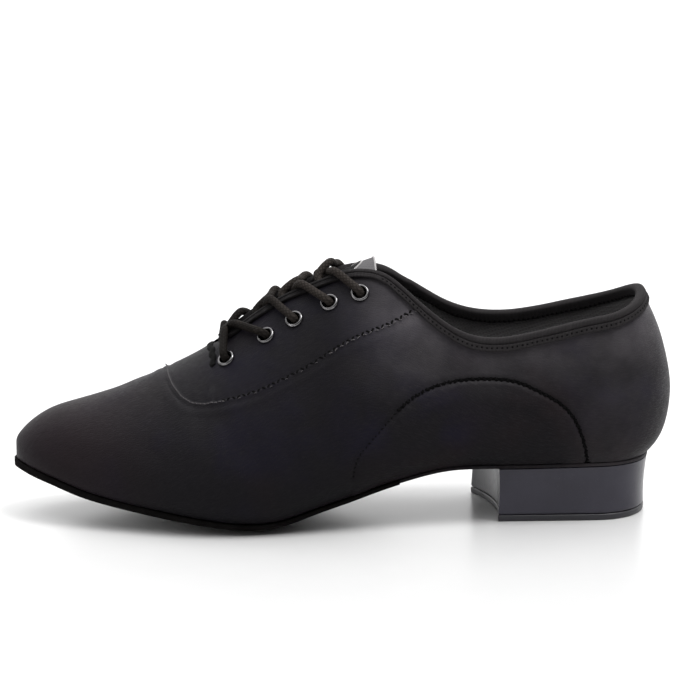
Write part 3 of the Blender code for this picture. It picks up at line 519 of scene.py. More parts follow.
def share_of(station):
    """The share of the length that a station reads its row at, from 0 at the toe to 1 at the heel's back."""
    step = np.clip(station / PIVOT_STATION, 0, 1)
    ahead = HEEL_PIVOT_SHARE * step**2 * (1 + TOE_CROWDING_SHARE) / (step + TOE_CROWDING_SHARE)
    round_back = HEEL_PIVOT_SHARE + (1 - HEEL_PIVOT_SHARE) * np.sin(turn_of(station))
    return np.where(station <= PIVOT_STATION, ahead, round_back)


def station_at(share):
    """The station ahead of the heel pivot whose section stands at this share of the length."""
    part = np.asarray(share, float) / HEEL_PIVOT_SHARE / (1 + TOE_CROWDING_SHARE)
    step = (part + np.sqrt(part * part + 4 * part * TOE_CROWDING_SHARE)) / 2
    return step * PIVOT_STATION


def place(share):
    return (share - 0.5) * LENGTH


def sole_centre(share):
    """Height of the sole's lower face on its centre line, before its flat spot is cut."""
    return TOE_SPRING * column(SOLE, "toe_rise", share) + HEEL_HEIGHT * column(SOLE, "heel_rise", share)


def sole_edge(share):
    return sole_centre(share) + BALL_WIDTH * column(SOLE, "crown", share)


def feather_height(share):
    """Height at which the upper meets the sole's edge."""
    return sole_edge(share) + SOLE_THICKNESS * column(SOLE, "substance", share)


def round_heel(station, ahead, side_value, back_value):
    """A width: its own value ahead of the heel pivot, and an ellipse round it."""
    turn = turn_of(station)
    ellipse = 1 / np.sqrt((np.cos(turn) / side_value) ** 2 + (np.sin(turn) / back_value) ** 2)
    return np.where(turn > 0, ellipse, ahead)


def width_at(station, side, name):
    """Half width of the section, in metres, from the centre line or the heel pivot."""
    suffix = "_out" if side == LATERAL else "_in"
    name = name if name == "top_half" else name + suffix
    ahead = np.maximum(column(SECTIONS, name, share_of(station)), 0)
    pivot = float(column(SECTIONS, name, HEEL_PIVOT_SHARE))
    back = float(column(SECTIONS, name, 1.0))
    return round_heel(station, ahead, pivot, back) * BALL_WIDTH


def section_frame(station, side):
    """Where a section's plane starts on the centre line, and the way that it faces, as x, y pairs."""
    share = np.minimum(share_of(station), HEEL_PIVOT_SHARE)
    turn = turn_of(station)
    start = np.stack([place(share), column(SECTIONS, "centre", share) * BALL_WIDTH], -1)
    facing = np.stack([np.sin(turn), side * np.cos(turn)], -1)
    return start, facing


def section_profiles(stations, side):
    """Distance and height along each section, from the feather to the ridge or the cone's top."""
    stations = np.asarray(stations, float)
    share = share_of(stations)
    feather = width_at(stations, side, "feather")
    full = width_at(stations, side, "full")
    top = width_at(stations, side, "top_half")
    low = feather_height(share)
    edge = sole_edge(share)
    middle = edge + INSTEP_HEIGHT * column(SECTIONS, "full_rise", share)
    high = edge + INSTEP_HEIGHT * column(SECTIONS, "top_rise", share)
    angle = np.radians(column(SECTIONS, "top_angle", share))
    reach = (full - top) * column(SECTIONS, "reach_pull", share)
    rise = (high - middle) * column(SECTIONS, "rise_pull", share)
    bulge = middle - low
    lower = (
        (feather, low),
        (feather + FEATHER_PULL_OUT_SHARE * (full - feather), low + FEATHER_PULL_UP_SHARE * bulge),
        (full, middle - FULL_PULL_SHARE * bulge),
        (full, middle),
    )
    upper = (
        (full, middle),
        (full, middle + rise),
        (top + reach * np.cos(angle), high - reach * np.sin(angle)),
        (top, high),
    )
    t = np.linspace(0, 1, PROFILE_STEPS + 1)
    weights = np.stack([(1 - t) ** 3, 3 * t * (1 - t) ** 2, 3 * t * t * (1 - t), t**3])
    halves = []
    for corners in (lower, upper):
        spread = [[np.broadcast_to(value, stations.shape) for value in corner] for corner in corners]
        halves.append(np.einsum("kn,kcs->snc", weights, np.array(spread)))
    return np.concatenate([halves[0], halves[1][:, 1:]], axis=1)


def lengths_along(profile):
    steps = np.linalg.norm(np.diff(profile, axis=1), axis=2)
    return np.concatenate([np.zeros((len(profile), 1)), np.cumsum(steps, axis=1)], axis=1)


def throat_half(share):
    half = THROAT["half"](np.sqrt(np.maximum(share - THROAT_START_SHARE, 0)))
    return np.where(share > THROAT_START_SHARE, np.maximum(half, 0), 0) * BALL_WIDTH


def collar_edge(share, side):
    """Height of the collar's edge above the floor."""
    edge = column(COLLAR, "out" if side == LATERAL else "in", np.maximum(share, COLLAR_ROWS[0][0]))
    return HEEL_HEIGHT + COLLAR_HEIGHT * edge


def edge_lengths(stations, side, profile, lengths):
    """How far up each section its edge lies: the ridge over the vamp, else the throat's or collar's edge."""
    share = share_of(np.asarray(stations, float))
    gap = throat_half(share)
    collar = collar_edge(share, side)
    found = np.empty(len(profile))
    for i, (section, length) in enumerate(zip(profile, lengths)):
        upper = slice(PROFILE_STEPS, None)
        total = length[-1]
        to_throat = total
        if gap[i] > section[-1, 0]:
            to_throat = np.interp(-gap[i], -section[upper, 0], length[upper])
        if share[i] < COLLAR_ROWS[0][0]:
            found[i] = to_throat
            continue
        to_collar = np.interp(collar[i], section[upper, 1], length[upper])
        if collar[i] > section[-1, 1]:
            to_collar = total + collar[i] - section[-1, 1]
        if share[i] > THROAT_ROWS[-1][0]:
            found[i] = to_collar
            continue
        soft = CORNER_SOFTNESS
        found[i] = min(to_throat, to_collar) - soft * math.log1p(math.exp(-abs(to_throat - to_collar) / soft))
    return found


def along_section(ways, lengths, values):
    """A section's value at each length, going on straight above the section's top."""
    past = np.maximum(ways - lengths[-1], 0)
    return np.interp(ways, lengths, values) + past * (values[-1] - values[-2]) / (lengths[-1] - lengths[-2])


def surface(stations, side, ways):
    """Points of the last's surface and the sections' outward normals.

    ways[i, j] is the length up section i from its feather.
    """
    stations = np.asarray(stations, float)
    profile = section_profiles(stations, side)
    lengths = lengths_along(profile)
    start, facing = section_frame(stations, side)
    points = np.empty(ways.shape + (3,))
    normals = np.empty(ways.shape + (3,))
    for i in range(len(stations)):
        out = along_section(ways[i], lengths[i], profile[i, :, 0])
        up = along_section(ways[i], lengths[i], profile[i, :, 1])
        normal_out = np.interp(ways[i], lengths[i], np.gradient(profile[i, :, 1], lengths[i]))
        normal_up = -np.interp(ways[i], lengths[i], np.gradient(profile[i, :, 0], lengths[i]))
        points[i, :, :2] = start[i] + facing[i] * out[:, None]
        points[i, :, 2] = up
        normals[i, :, :2] = facing[i] * normal_out[:, None]
        normals[i, :, 2] = normal_up
    return points, normals


def sections_up_to_edge(stations, side):
    """Each section's whole length, and how far up it its edge lies."""
    profile = section_profiles(stations, side)
    lengths = lengths_along(profile)
    return lengths[:, -1], edge_lengths(stations, side, profile, lengths)


# The cloth over the last: panels, seams, creases and slack
def seam_drop(share):
    """How far below the ridge the facing panel's seam runs."""
    return SEAM["drop"](np.sqrt(np.maximum(share - SEAM_FRONT_SHARE, 0))) * BALL_WIDTH


def way_along(points):
    """The distance along a polyline to each of its points."""
    return np.concatenate([[0], np.cumsum(np.linalg.norm(np.diff(points, axis=0), axis=1))])


def bump(value, middle, width):
    """A smooth swell of height 1."""
    return np.exp(-(((value - middle) / width) ** 2))


def swells(distance, *rows):
    """The cloth's swells beside a seam. A row holds a height, a distance and a width."""
    return sum(height * bump(distance, middle, width) for height, middle, width in rows)


def distance_to_line(x, y, line):
    """How far points of a plane lie from a line of points in it, and no more than LINE_REACH."""
    flat_x, flat_y = np.ravel(x), np.ravel(y)
    best = np.full(flat_x.shape, LINE_REACH)
    window = LINE_REACH * 1.5
    for (ax, ay), (bx, by) in zip(line, line[1:]):
        beside_x = np.abs(flat_x - (ax + bx) / 2) < window
        beside_y = np.abs(flat_y - (ay + by) / 2) < window
        near = np.nonzero(beside_x & beside_y)[0]
        if not len(near):
            continue
        wx, wy = bx - ax, by - ay
        t = np.clip(((flat_x[near] - ax) * wx + (flat_y[near] - ay) * wy) / (wx * wx + wy * wy), 0, 1)
        away = np.hypot(flat_x[near] - ax - t * wx, flat_y[near] - ay - t * wy)
        best[near] = np.minimum(best[near], away)
    return best.reshape(np.shape(x))


def inside_facing(share, below_ridge):
    """Distance inside the facing panel's seam, negative outside it."""
    run = SEAM_FRONT_SHARE + (SEAM_END_SHARE - SEAM_FRONT_SHARE) * np.linspace(0, 1, 140) ** 2
    line = np.stack([run * LENGTH, seam_drop(run)], axis=1)
    share, below_ridge = np.broadcast_arrays(share, below_ridge)
    away = distance_to_line(share * LENGTH, below_ridge, line)
    within = (share > SEAM_FRONT_SHARE) & (share < SEAM_END_SHARE) & (below_ridge < seam_drop(share))
    return np.where(within, away, -away)


def arch_run(count=120):
    """The stitched arch in the side view, as x and z."""
    rows = np.array(ARCH_ROWS)
    knots = way_along(rows * (LENGTH, INSTEP_HEIGHT))
    at = np.linspace(0, knots[-1], count)
    return place(Smooth(knots, rows[:, 0])(at)), INSTEP_HEIGHT * Smooth(knots, rows[:, 1])(at)


def outside_arch(points):
    """Distance outside the stitched arch in the side view, negative inside it."""
    run_x, run_z = arch_run()
    away = distance_to_line(points[..., 0], points[..., 2], np.stack([run_x, run_z], axis=1))
    inside = points[..., 2] < np.interp(points[..., 0], run_x, run_z, left=0.0, right=0.0)
    return np.where(inside, -away, away)


def crease_relief(points, depth):
    """Soft troughs and ridges along the rows of the crease table, each with a lip beside it."""
    along = points[..., 0] / LENGTH + 0.5
    total = np.zeros(along.shape)
    stretch = LENGTH / BALL_WIDTH
    for row in CREASE_ROWS:
        crease = dict(zip(CREASE_COLUMNS, row))
        if crease["seen"] == "wall":
            up = points[..., 2] / BALL_WIDTH
            start_up, end_up = (crease[key] * INSTEP_HEIGHT / BALL_WIDTH for key in ("from_up", "to_up"))
        else:
            up = np.abs(points[..., 1]) / BALL_WIDTH
            start_up, end_up = crease["from_up"], crease["to_up"]
        start = np.array([crease["from_along"] * stretch, start_up])
        way = np.array([crease["to_along"] * stretch, end_up]) - start
        length = np.hypot(*way)
        x = along * stretch - start[0]
        z = up - start[1]
        t = np.clip((x * way[0] + z * way[1]) / length**2, -0.3, 1.3)
        bow = crease["bow"] * 4 * t * (1 - t)
        beside = (x * way[1] - z * way[0]) / length - bow
        beyond = np.maximum(np.abs(t - 0.5) - 0.5, 0) * length
        width = crease["width"]
        fade = bump(beyond, 0, width) * smoothstep(t, -0.15, 0.3) * smoothstep(-t, -1.15, -0.7)
        trough = CREASE_LIP_SHARE * bump(beside, CREASE_LIP_AT * width, width) - bump(beside, 0, width)
        total += depth * crease["depth"] * fade * trough
    return total


def slack_relief(points, depth):
    """A low unevenness of stretched cloth, from crossing waves in radians a metre."""
    x, y, z = (points[..., axis] for axis in range(3))
    waves = (
        np.sin(x * 190 + 2.1 * np.sin(z * 120) + y * 35)
        + np.sin(z * 240 + 1.7 * np.sin(x * 85 + 1.0) + y * 60)
        + np.sin(x * 330 - z * 150 + y * 130 + 0.6)
    )
    return depth * waves / 3


def cloth_relief(points, share, below_ridge, sizes):
    """How far the cloth stands off the last's surface."""
    x, z = points[..., 0], points[..., 2]
    inside = inside_facing(share, below_ridge)
    panel = -SEAM_STEP * smoothstep(inside, -FACING_EDGE, FACING_EDGE) + swells(inside, *FACING_SWELLS)
    puckers = np.sin(x * 2 * math.pi / PUCKER_PITCH) * bump(inside, 0, PUCKER_REACH)
    beside = outside_arch(points)
    tight = 1 + 0.45 * np.sin(x * 2 * math.pi / GATHER_PITCH + 2 * np.sin(z * 400))
    pad = swells(beside, ARCH_PAD) * smoothstep(-beside, 0.0, 0.002)
    arch = swells(beside, ARCH_TROUGH) + swells(beside, *ARCH_LIPS) * tight + pad
    folds = crease_relief(points, sizes.crease_depth) + slack_relief(points, sizes.slack_depth)
    return panel + sizes.pucker_depth * puckers + arch + folds


def cloth(stations, side, ways, lift=0.0):
    """Points on the cloth, or stood off it by the lift, at lengths up each section."""
    stations = np.asarray(stations, float)
    points, normals = surface(stations, side, ways)
    total, _ = sections_up_to_edge(stations, side)
    share = share_of(stations)[:, None]
    relief = cloth_relief(points, share, total[:, None] - ways, bpy.context.scene.oxford_sizes)
    return points + normals * (relief + lift)[..., None]


def line_on_cloth(stations, side, ways, lift=0.0):
    """A line on the cloth, one point a station, with the true outward normals."""
    stations = np.asarray(stations, float)
    step = 2e-4
    here = cloth(stations, side, np.stack([ways, ways + 3e-4], axis=1), lift)
    beyond = cloth(np.minimum(stations + step, 1), side, ways[:, None], lift)[:, 0]
    normals = np.cross(beyond - here[:, 0], here[:, 1] - here[:, 0]) * -side
    normals /= np.linalg.norm(normals, axis=1)[:, None]
    return here[:, 0], normals


def way_at_height(stations, side, heights):
    """How far up each section its wall reaches a height."""
    profile = section_profiles(stations, side)
    lengths = lengths_along(profile)
    return np.array([np.interp(h, p[:, 1], way) for h, p, way in zip(heights, profile, lengths)])


def round_the_foot(stations):
    """Distance along the shoe's widest line to each station, for the cloth's map."""
    start, facing = section_frame(stations, LATERAL)
    return way_along(start + facing * width_at(stations, LATERAL, "full")[:, None])


# Meshes
def quads_of(index):
    """The four corners of each cell in a grid of point numbers."""
    corners = (index[:-1, :-1], index[1:, :-1], index[1:, 1:], index[:-1, 1:])
    return np.stack(corners, axis=-1).reshape(-1, 4)


class Patches:
    """Grids of points gathered into one mesh, with a map of the cloth in metres."""

    def __init__(self):
        self.points = []
        self.maps = []
        self.faces = []
        self.count = 0

    def grid(self, points, cloth_map, flip=False, wrap=False):
        """Adds a grid. With wrap its columns close into rings."""
        rows, columns = points.shape[:2]
        index = self.count + np.arange(rows * columns).reshape(rows, columns)
        if wrap:
            index = np.concatenate([index, index[:, :1]], axis=1)
        quads = quads_of(index)
        self.faces += (quads[:, ::-1] if flip else quads).tolist()
        self.points.append(points.reshape(-1, 3))
        self.maps.append(np.broadcast_to(cloth_map, (rows, columns, 2)).reshape(-1, 2))
        self.count += rows * columns

    def cap(self, points, flip=False):
        """Adds one face over a ring of points."""
        count = len(points)
        ring = tuple(range(self.count, self.count + count))
        self.faces.append(ring[::-1] if flip else ring)
        self.points.append(points)
        self.maps.append(points[:, :2])
        self.count += count

    def build(self, name, finish, sharp=50, closed=False, cut=0.0):
        """Makes the object, with coinciding points joined, and puts it on the model's body."""
        mesh = bpy.data.meshes.new(name)
        mesh.from_pydata(np.concatenate(self.points).tolist(), [], self.faces)
        layer = mesh.uv_layers.new(name="cloth_map")
        corners = np.empty(len(mesh.loops), np.int32)
        mesh.loops.foreach_get("vertex_index", corners)
        layer.data.foreach_set("uv", np.concatenate(self.maps)[corners].astype(np.float32).ravel())
        shape = bmesh.new()
        shape.from_mesh(mesh)
        bmesh.ops.remove_doubles(shape, verts=shape.verts, dist=MERGE_DISTANCE)
        bmesh.ops.dissolve_degenerate(shape, dist=MERGE_DISTANCE, edges=shape.edges)
        if closed:
            bmesh.ops.recalc_face_normals(shape, faces=shape.faces)
        if cut:
            without_eyelet_holes(shape, cut)
        shape.to_mesh(mesh)
        shape.free()
        return add_piece(name, mesh, finish_named(finish), sharp)


def add_piece(name, mesh, finish, sharp):
    """A piece of the shoe: it rides on the one body and wears the finish it is given."""
    mesh.materials.clear()
    mesh.materials.append(finish)
    mesh.shade_smooth()
    mesh.set_sharp_from_angle(angle=math.radians(sharp))
    piece = bpy.data.objects.new(name, mesh)
    bpy.context.scene.collection.objects.link(piece)
    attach(piece, "root")
    return piece


def unit(vectors):
    return vectors / np.maximum(np.linalg.norm(vectors, axis=-1, keepdims=True), 1e-12)


def resample(points, spacing, *others):
    """A polyline's points at an even spacing, with other values carried along."""
    way = way_along(points)
    at = np.linspace(0, way[-1], max(int(round(way[-1] / spacing)), 2) + 1)
    return [
        np.stack([np.interp(at, way, part) for part in values.T], -1)
        for values in (points, *others)
    ]


def stitches(
    patches, points, normals, pitch, length, width, turn=0.0, offset=0.0, arch=0.35, sides=6, rings=6
):
    """Bent thread capsules along a line on the cloth, turned one way and the other by turns."""
    line, upward = resample(points, pitch, normals)
    upward = unit(upward)
    along = unit(np.gradient(line, axis=0))
    across = np.cross(upward, along)
    line = line + across * offset
    t = np.linspace(-1, 1, rings)
    angle = np.arange(sides) * 2 * math.pi / sides
    radius = width / 2 * np.sqrt(np.maximum(1 - 0.85 * t**4, 0.02))
    lift = width * (arch * (1 - t**2) * 2 - 0.45)
    cloth_map = np.stack(np.broadcast_arrays(t[:, None] * length / 2, angle[None] * width / 2), -1)
    for i in range(len(line)):
        way = turn if i % 2 else -turn
        ahead = along[i] * math.cos(way) + across[i] * math.sin(way)
        beside = np.cross(upward[i], ahead)
        centre = line[i] + ahead * (t * length / 2)[:, None] + upward[i] * lift[:, None]
        high = upward[i][None] * np.sin(angle)[:, None] * THREAD_FLATNESS
        ring = beside[None] * np.cos(angle)[:, None] + high
        patches.grid(centre[:, None] + ring[None] * radius[:, None, None], cloth_map, wrap=True)


def tube(patches, points, normals, radius, sides, flatness):
    """A tube along a line. flatness scales its height along the normals, one value a point."""
    along = unit(np.gradient(points, axis=0))
    across = unit(np.cross(normals, along))
    upward = np.cross(along, across)
    angle = np.arange(sides) * 2 * math.pi / sides
    wide = radius * (1 + 0.25 * (1 - flatness))
    ring = (
        across[:, None] * (np.cos(angle)[None] * wide[:, None])[..., None]
        + upward[:, None] * (np.sin(angle)[None] * (radius * flatness)[:, None])[..., None]
    )
    cloth_map = np.stack(np.broadcast_arrays(way_along(points)[:, None], angle[None] / (2 * math.pi)), -1)
    patches.grid(points[:, None] + ring, cloth_map, wrap=True)


# Finishes
class Graph:
    """Adds shader nodes to a tree and links them by the names of their sockets."""

    def __init__(self, tree):
        self.tree = tree

    def put(self, value, socket):
        """Links a socket to another one, or gives it a value or a colour."""
        if isinstance(value, bpy.types.NodeSocket):
            self.tree.links.new(value, socket)
        else:
            socket.default_value = (*value, 1.0) if socket.type == "RGBA" else value

    def add(self, kind, inputs=None, **settings):
        node = self.tree.nodes.new(kind)
        for key, value in settings.items():
            setattr(node, key, value)
        for key, value in (inputs or {}).items():
            self.put(value, node.inputs[key])
        return node

    def math(self, operation, *values):
        return self.add("ShaderNodeMath", dict(enumerate(values)), operation=operation).outputs[0]

    def times(self, value, factor):
        return self.math("MULTIPLY", value, factor)

    def line(self, value, slope, start):
        """A value scaled and shifted."""
        return self.math("MULTIPLY_ADD", value, slope, start)

    def stretch(self, vector, scale):
        """A vector with each of its parts scaled."""
        return self.add("ShaderNodeVectorMath", {0: vector, 1: scale}, operation="MULTIPLY").outputs[0]

    def split(self, vector):
        return self.add("ShaderNodeSeparateXYZ", {0: vector}).outputs

    def noise(self, vector, scale, detail=3.0, roughness=0.55):
        inputs = {"Vector": vector, "Scale": scale, "Detail": detail, "Roughness": roughness}
        return self.add("ShaderNodeTexNoise", inputs).outputs["Fac"]

    def wave(self, value, turn):
        return self.math("SINE", self.times(value, turn))

    def ribs(self, value, turn):
        return self.math("ABSOLUTE", self.wave(value, turn))

    def span(self, value, low, high, to_low=0.0, to_high=1.0):
        """A value mapped smoothly from one span to another."""
        inputs = {"Value": value, "From Min": low, "From Max": high, "To Min": to_low, "To Max": to_high}
        return self.add("ShaderNodeMapRange", inputs, interpolation_type="SMOOTHSTEP").outputs[0]

    def mix(self, mask, first, second, amount=None):
        """Two colours mixed by a mask, or by an amount of it."""
        if amount is not None:
            mask = self.times(mask, amount)
        return self.add("ShaderNodeMix", {0: mask, 6: first, 7: second}, data_type="RGBA").outputs[2]


def group(name, inputs, outputs, fill):
    """A shader node group with named sockets, built once."""
    found = bpy.data.node_groups.get(name)
    if found:
        return found
    tree = bpy.data.node_groups.new(name, "ShaderNodeTree")
    for socket, kind, default in inputs:
        made = tree.interface.new_socket(socket, in_out="INPUT", socket_type=kind)
        if default is not None:
            made.default_value = default
    for socket in outputs:
        tree.interface.new_socket(socket, in_out="OUTPUT", socket_type="NodeSocketFloat")
    graph = Graph(tree)
    start = graph.add("NodeGroupInput")
    end = graph.add("NodeGroupOutput")
    for socket, value in fill(graph, start.outputs).items():
        tree.links.new(value, end.inputs[socket])
    return tree


FLOAT = "NodeSocketFloat"
VECTOR = "NodeSocketVector"


def woven_group():
    """Satin weave: long floats that break in a slant, with thicker and thinner threads."""

    def fill(graph, given):
        scale = graph.math("DIVIDE", 1.0, given["Pitch"])
        inputs = {0: given["Map"], "Scale": scale}
        parts = graph.split(graph.add("ShaderNodeVectorMath", inputs, operation="SCALE").outputs[0])
        sway = graph.times(graph.noise(graph.stretch(given["Map"], (120, 500, 1)), 1.0, 1.0), 0.9)
        across = graph.math("ADD", parts[1], sway)
        step = graph.math("FLOOR", across)
        slant = graph.line(step, 0.4, graph.times(parts[0], 0.2))
        tuck = graph.span(graph.wave(slant, 2 * math.pi), 0.55, 1.0)
        floats = graph.line(tuck, -0.6, 1.0)
        height = graph.times(graph.ribs(across, math.pi), floats)
        slub = graph.noise(graph.stretch(given["Map"], (300, 1500, 1)), 1.0, 4.0, 0.65)
        streak = graph.span(slub, 0.42, 0.72)
        uneven = graph.line(graph.times(streak, given["Slub"]), 0.6, height)
        return {"Height": uneven, "Thread": height, "Streak": streak}

    inputs = (("Map", VECTOR, None), ("Pitch", FLOAT, 0.00045), ("Slub", FLOAT, 1.0))
    return group("woven_cloth", inputs, ("Height", "Thread", "Streak"), fill)


def braid_group():
    """Strands that cross over one another by turns, for laces and thread."""

    def fill(graph, given):
        parts = graph.split(given["Map"])
        along = graph.math("DIVIDE", parts[0], given["Pitch"])
        around = graph.times(parts[1], given["Strands"])
        first = graph.ribs(graph.math("ADD", along, around), math.pi)
        second = graph.ribs(graph.math("SUBTRACT", along, around), math.pi)
        cell = graph.times(graph.wave(along, 2 * math.pi), graph.wave(around, 2 * math.pi))
        top = graph.span(cell, -0.15, 0.15)
        gain = graph.times(graph.math("SUBTRACT", second, first), top)
        height = graph.math("ADD", first, gain)
        fibre = graph.noise(graph.stretch(given["Map"], (9000, 60, 1)), 1.0, 2.0)
        return {"Height": graph.line(fibre, 0.25, height), "Strand": height}

    inputs = (("Map", VECTOR, None), ("Pitch", FLOAT, 0.0016), ("Strands", FLOAT, 6.0))
    return group("braid", inputs, ("Height", "Strand"), fill)


def nap_group():
    """Short brushed fibres, with patches that lie another way."""

    def fill(graph, given):
        fibre = graph.noise(graph.stretch(given["Place"], (1400, 2600, 2600)), 1.0, 3.0, 0.7)
        patch = graph.noise(given["Place"], 160.0, 3.0)
        brushed = graph.span(patch, 0.35, 0.65)
        return {"Height": graph.line(patch, 0.6, fibre), "Brushed": brushed, "Fibre": fibre}

    return group("nap", (("Place", VECTOR, None),), ("Height", "Brushed", "Fibre"), fill)


def wear_group():
    """Lint, dust and rubbed places."""

    def fill(graph, given):
        speck = graph.noise(given["Place"], 2600.0, 1.0)
        lint = graph.span(speck, 0.72, 0.80)
        broad = graph.span(graph.noise(given["Place"], 38.0, 4.0), 0.38, 0.70)
        rubbed = graph.span(graph.noise(given["Place"], 210.0, 5.0, 0.7), 0.50, 0.72)
        return {
            "Lint": graph.times(lint, given["Amount"]),
            "Broad": broad,
            "Rubbed": graph.times(rubbed, given["Amount"]),
        }

    return group("wear", (("Place", VECTOR, None), ("Amount", FLOAT, 1.0)), ("Lint", "Broad", "Rubbed"), fill)


def scaled(value, factor):
    return tuple(part * factor for part in value)


class Finish:
    """A material under way: its graph, its shader, the cloth map and the place on the shoe."""

    def __init__(self, name, sockets):
        self.material = bpy.data.materials.new(name)
        self.material.use_nodes = True
        self.graph = Graph(self.material.node_tree)
        self.shader = self.material.node_tree.nodes["Principled BSDF"]
        for key, value in sockets.items():
            self.shader.inputs[key].default_value = value
        self.map = self.graph.add("ShaderNodeUVMap", uv_map="cloth_map").outputs[0]
        self.place = self.graph.add("ShaderNodeTexCoord").outputs["Object"]

    def use(self, tree, **inputs):
        """Places a shared group."""
        titled = {key.title(): value for key, value in inputs.items()}
        return self.graph.add("ShaderNodeGroup", titled, node_tree=tree).outputs

    def wear(self):
        return self.use(wear_group(), place=self.place, amount=1.0)

    def linked(self, colour, roughness=None, *layers):
        """The material with its colour and roughness linked, and bumps one on another.

        A layer is a height and its depth in metres.
        """
        self.graph.put(colour, self.shader.inputs["Base Color"])
        if roughness is not None:
            self.graph.put(roughness, self.shader.inputs["Roughness"])
        normal = None
        for height, depth in layers:
            node = self.graph.add("ShaderNodeBump", {"Height": height, "Strength": 1.0, "Distance": depth})
            if normal:
                self.graph.put(normal, node.inputs["Normal"])
            normal = node.outputs[0]
        if normal:
            self.graph.put(normal, self.shader.inputs["Normal"])
        return self.material


def satin_finish(name, value, dim=1.0):
    """Black satin-faced cotton: fine slanting weave and streaks along the threads, painted shade over the
    front, a browner toe tip partly painted light, and painted light on the quarter under the collar and on
    the heel counter.
    """
    scene = bpy.context.scene
    finish = Finish(name, {"Specular IOR Level": 0.05})
    graph = finish.graph
    weave = finish.use(woven_group(), map=finish.map, pitch=scene.oxford_sizes.weave_pitch, slub=1.0)
    wear = finish.wear()
    dark = scaled(value, dim)
    light = scaled(scene.oxford_colours.cloth_light, dim)
    bluish = (dark[0] * 1.0, dark[1] * 0.95, dark[2] * 2.0)
    brownish = (dark[0] * 1.6, dark[1] * 1.2, dark[2] * 1.1)
    toe_tint_and_light = (dark[0] * 2.1, dark[1] * 1.6, dark[2] * 1.5)
    patch = graph.span(graph.noise(graph.stretch(finish.place, (11, 11, 16)), 1.0, 2.0), 0.42, 0.58)
    base = graph.mix(wear["Broad"], dark, graph.mix(patch, bluish, brownish))
    threads = graph.line(weave["Streak"], 0.45, graph.times(weave["Thread"], 0.25))
    base = graph.mix(threads, base, light)
    along, _, up = graph.split(finish.place)
    # Painted shade: the front of the shoe, ahead of the instep, is painted darker.
    base = graph.mix(graph.span(along, -0.02 * LENGTH, 0.13 * LENGTH, 0.5, 0.0), base, dark)
    # Lighter and browner at the toe tip: a brown tint, partly painted light.
    base = graph.mix(graph.span(along, -0.42 * LENGTH, -0.24 * LENGTH, 0.75, 0.0), base, toe_tint_and_light)
    # Painted light: the high quarter behind the instep and the heel counter are painted lighter, broken up by
    # noise.
    rear = graph.span(along, -0.04 * LENGTH, 0.12 * LENGTH)
    high = graph.span(up, 0.50 * INSTEP_HEIGHT, 0.98 * INSTEP_HEIGHT)
    lit_heel_counter = graph.span(along, 0.28 * LENGTH, 0.42 * LENGTH, 0.0, 0.3)
    uneven = graph.span(graph.noise(finish.place, 60.0, 3.0), 0.25, 0.75, 0.45, 1.0)
    painted_light_mask = graph.math("MAXIMUM", graph.times(rear, high), lit_heel_counter)
    base = graph.mix(graph.times(painted_light_mask, uneven), base, scaled(light, 4.0))
    base = graph.mix(wear["Lint"], base, (0.05, 0.05, 0.055), 0.35)
    rough = graph.line(weave["Streak"], -0.14, 0.47)
    rough = graph.line(wear["Rubbed"], 0.07, rough)
    relief = ((wear["Broad"], 0.00022), (weave["Streak"], 0.00003), (weave["Height"], 0.00004))
    return finish.linked(base, rough, *relief)


def lining_finish(name, value, pitch=0.0007, light=1.8):
    """Soft knitted lining."""
    finish = Finish(name, {"Sheen Weight": 0.03, "Sheen Roughness": 0.5, "Specular IOR Level": 0.04})
    graph = finish.graph
    weave = finish.use(woven_group(), map=finish.map, pitch=pitch, slub=0.5)
    wear = finish.wear()
    base = graph.mix(weave["Thread"], value, scaled(value, light))
    base = graph.mix(wear["Broad"], base, scaled(value, 0.7), 0.35)
    base = graph.mix(wear["Lint"], base, (0.07, 0.07, 0.07), 0.3)
    rough = graph.line(weave["Thread"], -0.12, 0.9)
    return finish.linked(base, rough, (weave["Height"], 0.00012))


def tape_finish(name, value):
    """Ribbed tape: fine ribs across its length, paler where they rise, with painted shade along the facings.
    """
    finish = Finish(name, {"Specular IOR Level": 0.04})
    graph = finish.graph
    parts = graph.split(finish.map)
    rib = graph.ribs(parts[0], math.pi / TAPE_RIB_PITCH)
    thread = graph.wave(parts[1], 2 * math.pi / TAPE_THREAD_PITCH)
    wear = finish.wear()
    base = graph.mix(rib, scaled(value, 0.6), scaled(value, 1.35))
    # Painted shade: the tape is painted darker along the facings.
    ahead = graph.span(graph.split(finish.place)[0], -0.03 * LENGTH, 0.03 * LENGTH, 0.7, 0.0)
    base = graph.mix(ahead, base, scaled(value, 0.2))
    base = graph.mix(wear["Rubbed"], base, scaled(value, 2.0), 0.35)
    rough = graph.line(rib, -0.14, 0.80)
    return finish.linked(base, rough, (graph.line(thread, 0.18, rib), 0.00011))


def braid_finish(name, value, pitch, strands, depth, light=1.6):
    """Round braid, with painted shade towards the toe."""
    finish = Finish(name, {"Specular IOR Level": 0.05})
    graph = finish.graph
    braid = finish.use(braid_group(), map=finish.map, pitch=pitch, strands=strands)
    wear = finish.wear()
    base = graph.mix(braid["Strand"], scaled(value, 0.55), scaled(value, light))
    # Painted shade: the lace is painted darker over the lowest eyelet rows, towards the toe.
    ahead = graph.span(graph.split(finish.place)[0], -0.155 * LENGTH, -0.055 * LENGTH, 0.85, 0.0)
    base = graph.mix(ahead, base, scaled(value, 0.2))
    base = graph.mix(wear["Rubbed"], base, scaled(value, 2.4), 0.25)
    rough = graph.line(braid["Strand"], -0.18, 0.82)
    return finish.linked(base, rough, (braid["Height"], depth))


def thread_finish(name, value):
    """Twisted sewing thread."""
    finish = Finish(name, {"Specular IOR Level": 0.05})
    graph = finish.graph
    braid = finish.use(braid_group(), map=finish.map, pitch=0.0009, strands=3.0)
    base = graph.mix(braid["Strand"], scaled(value, 0.5), scaled(value, 1.4))
    rough = graph.line(braid["Strand"], -0.15, 0.8)
    return finish.linked(base, rough, (braid["Height"], 0.00008))


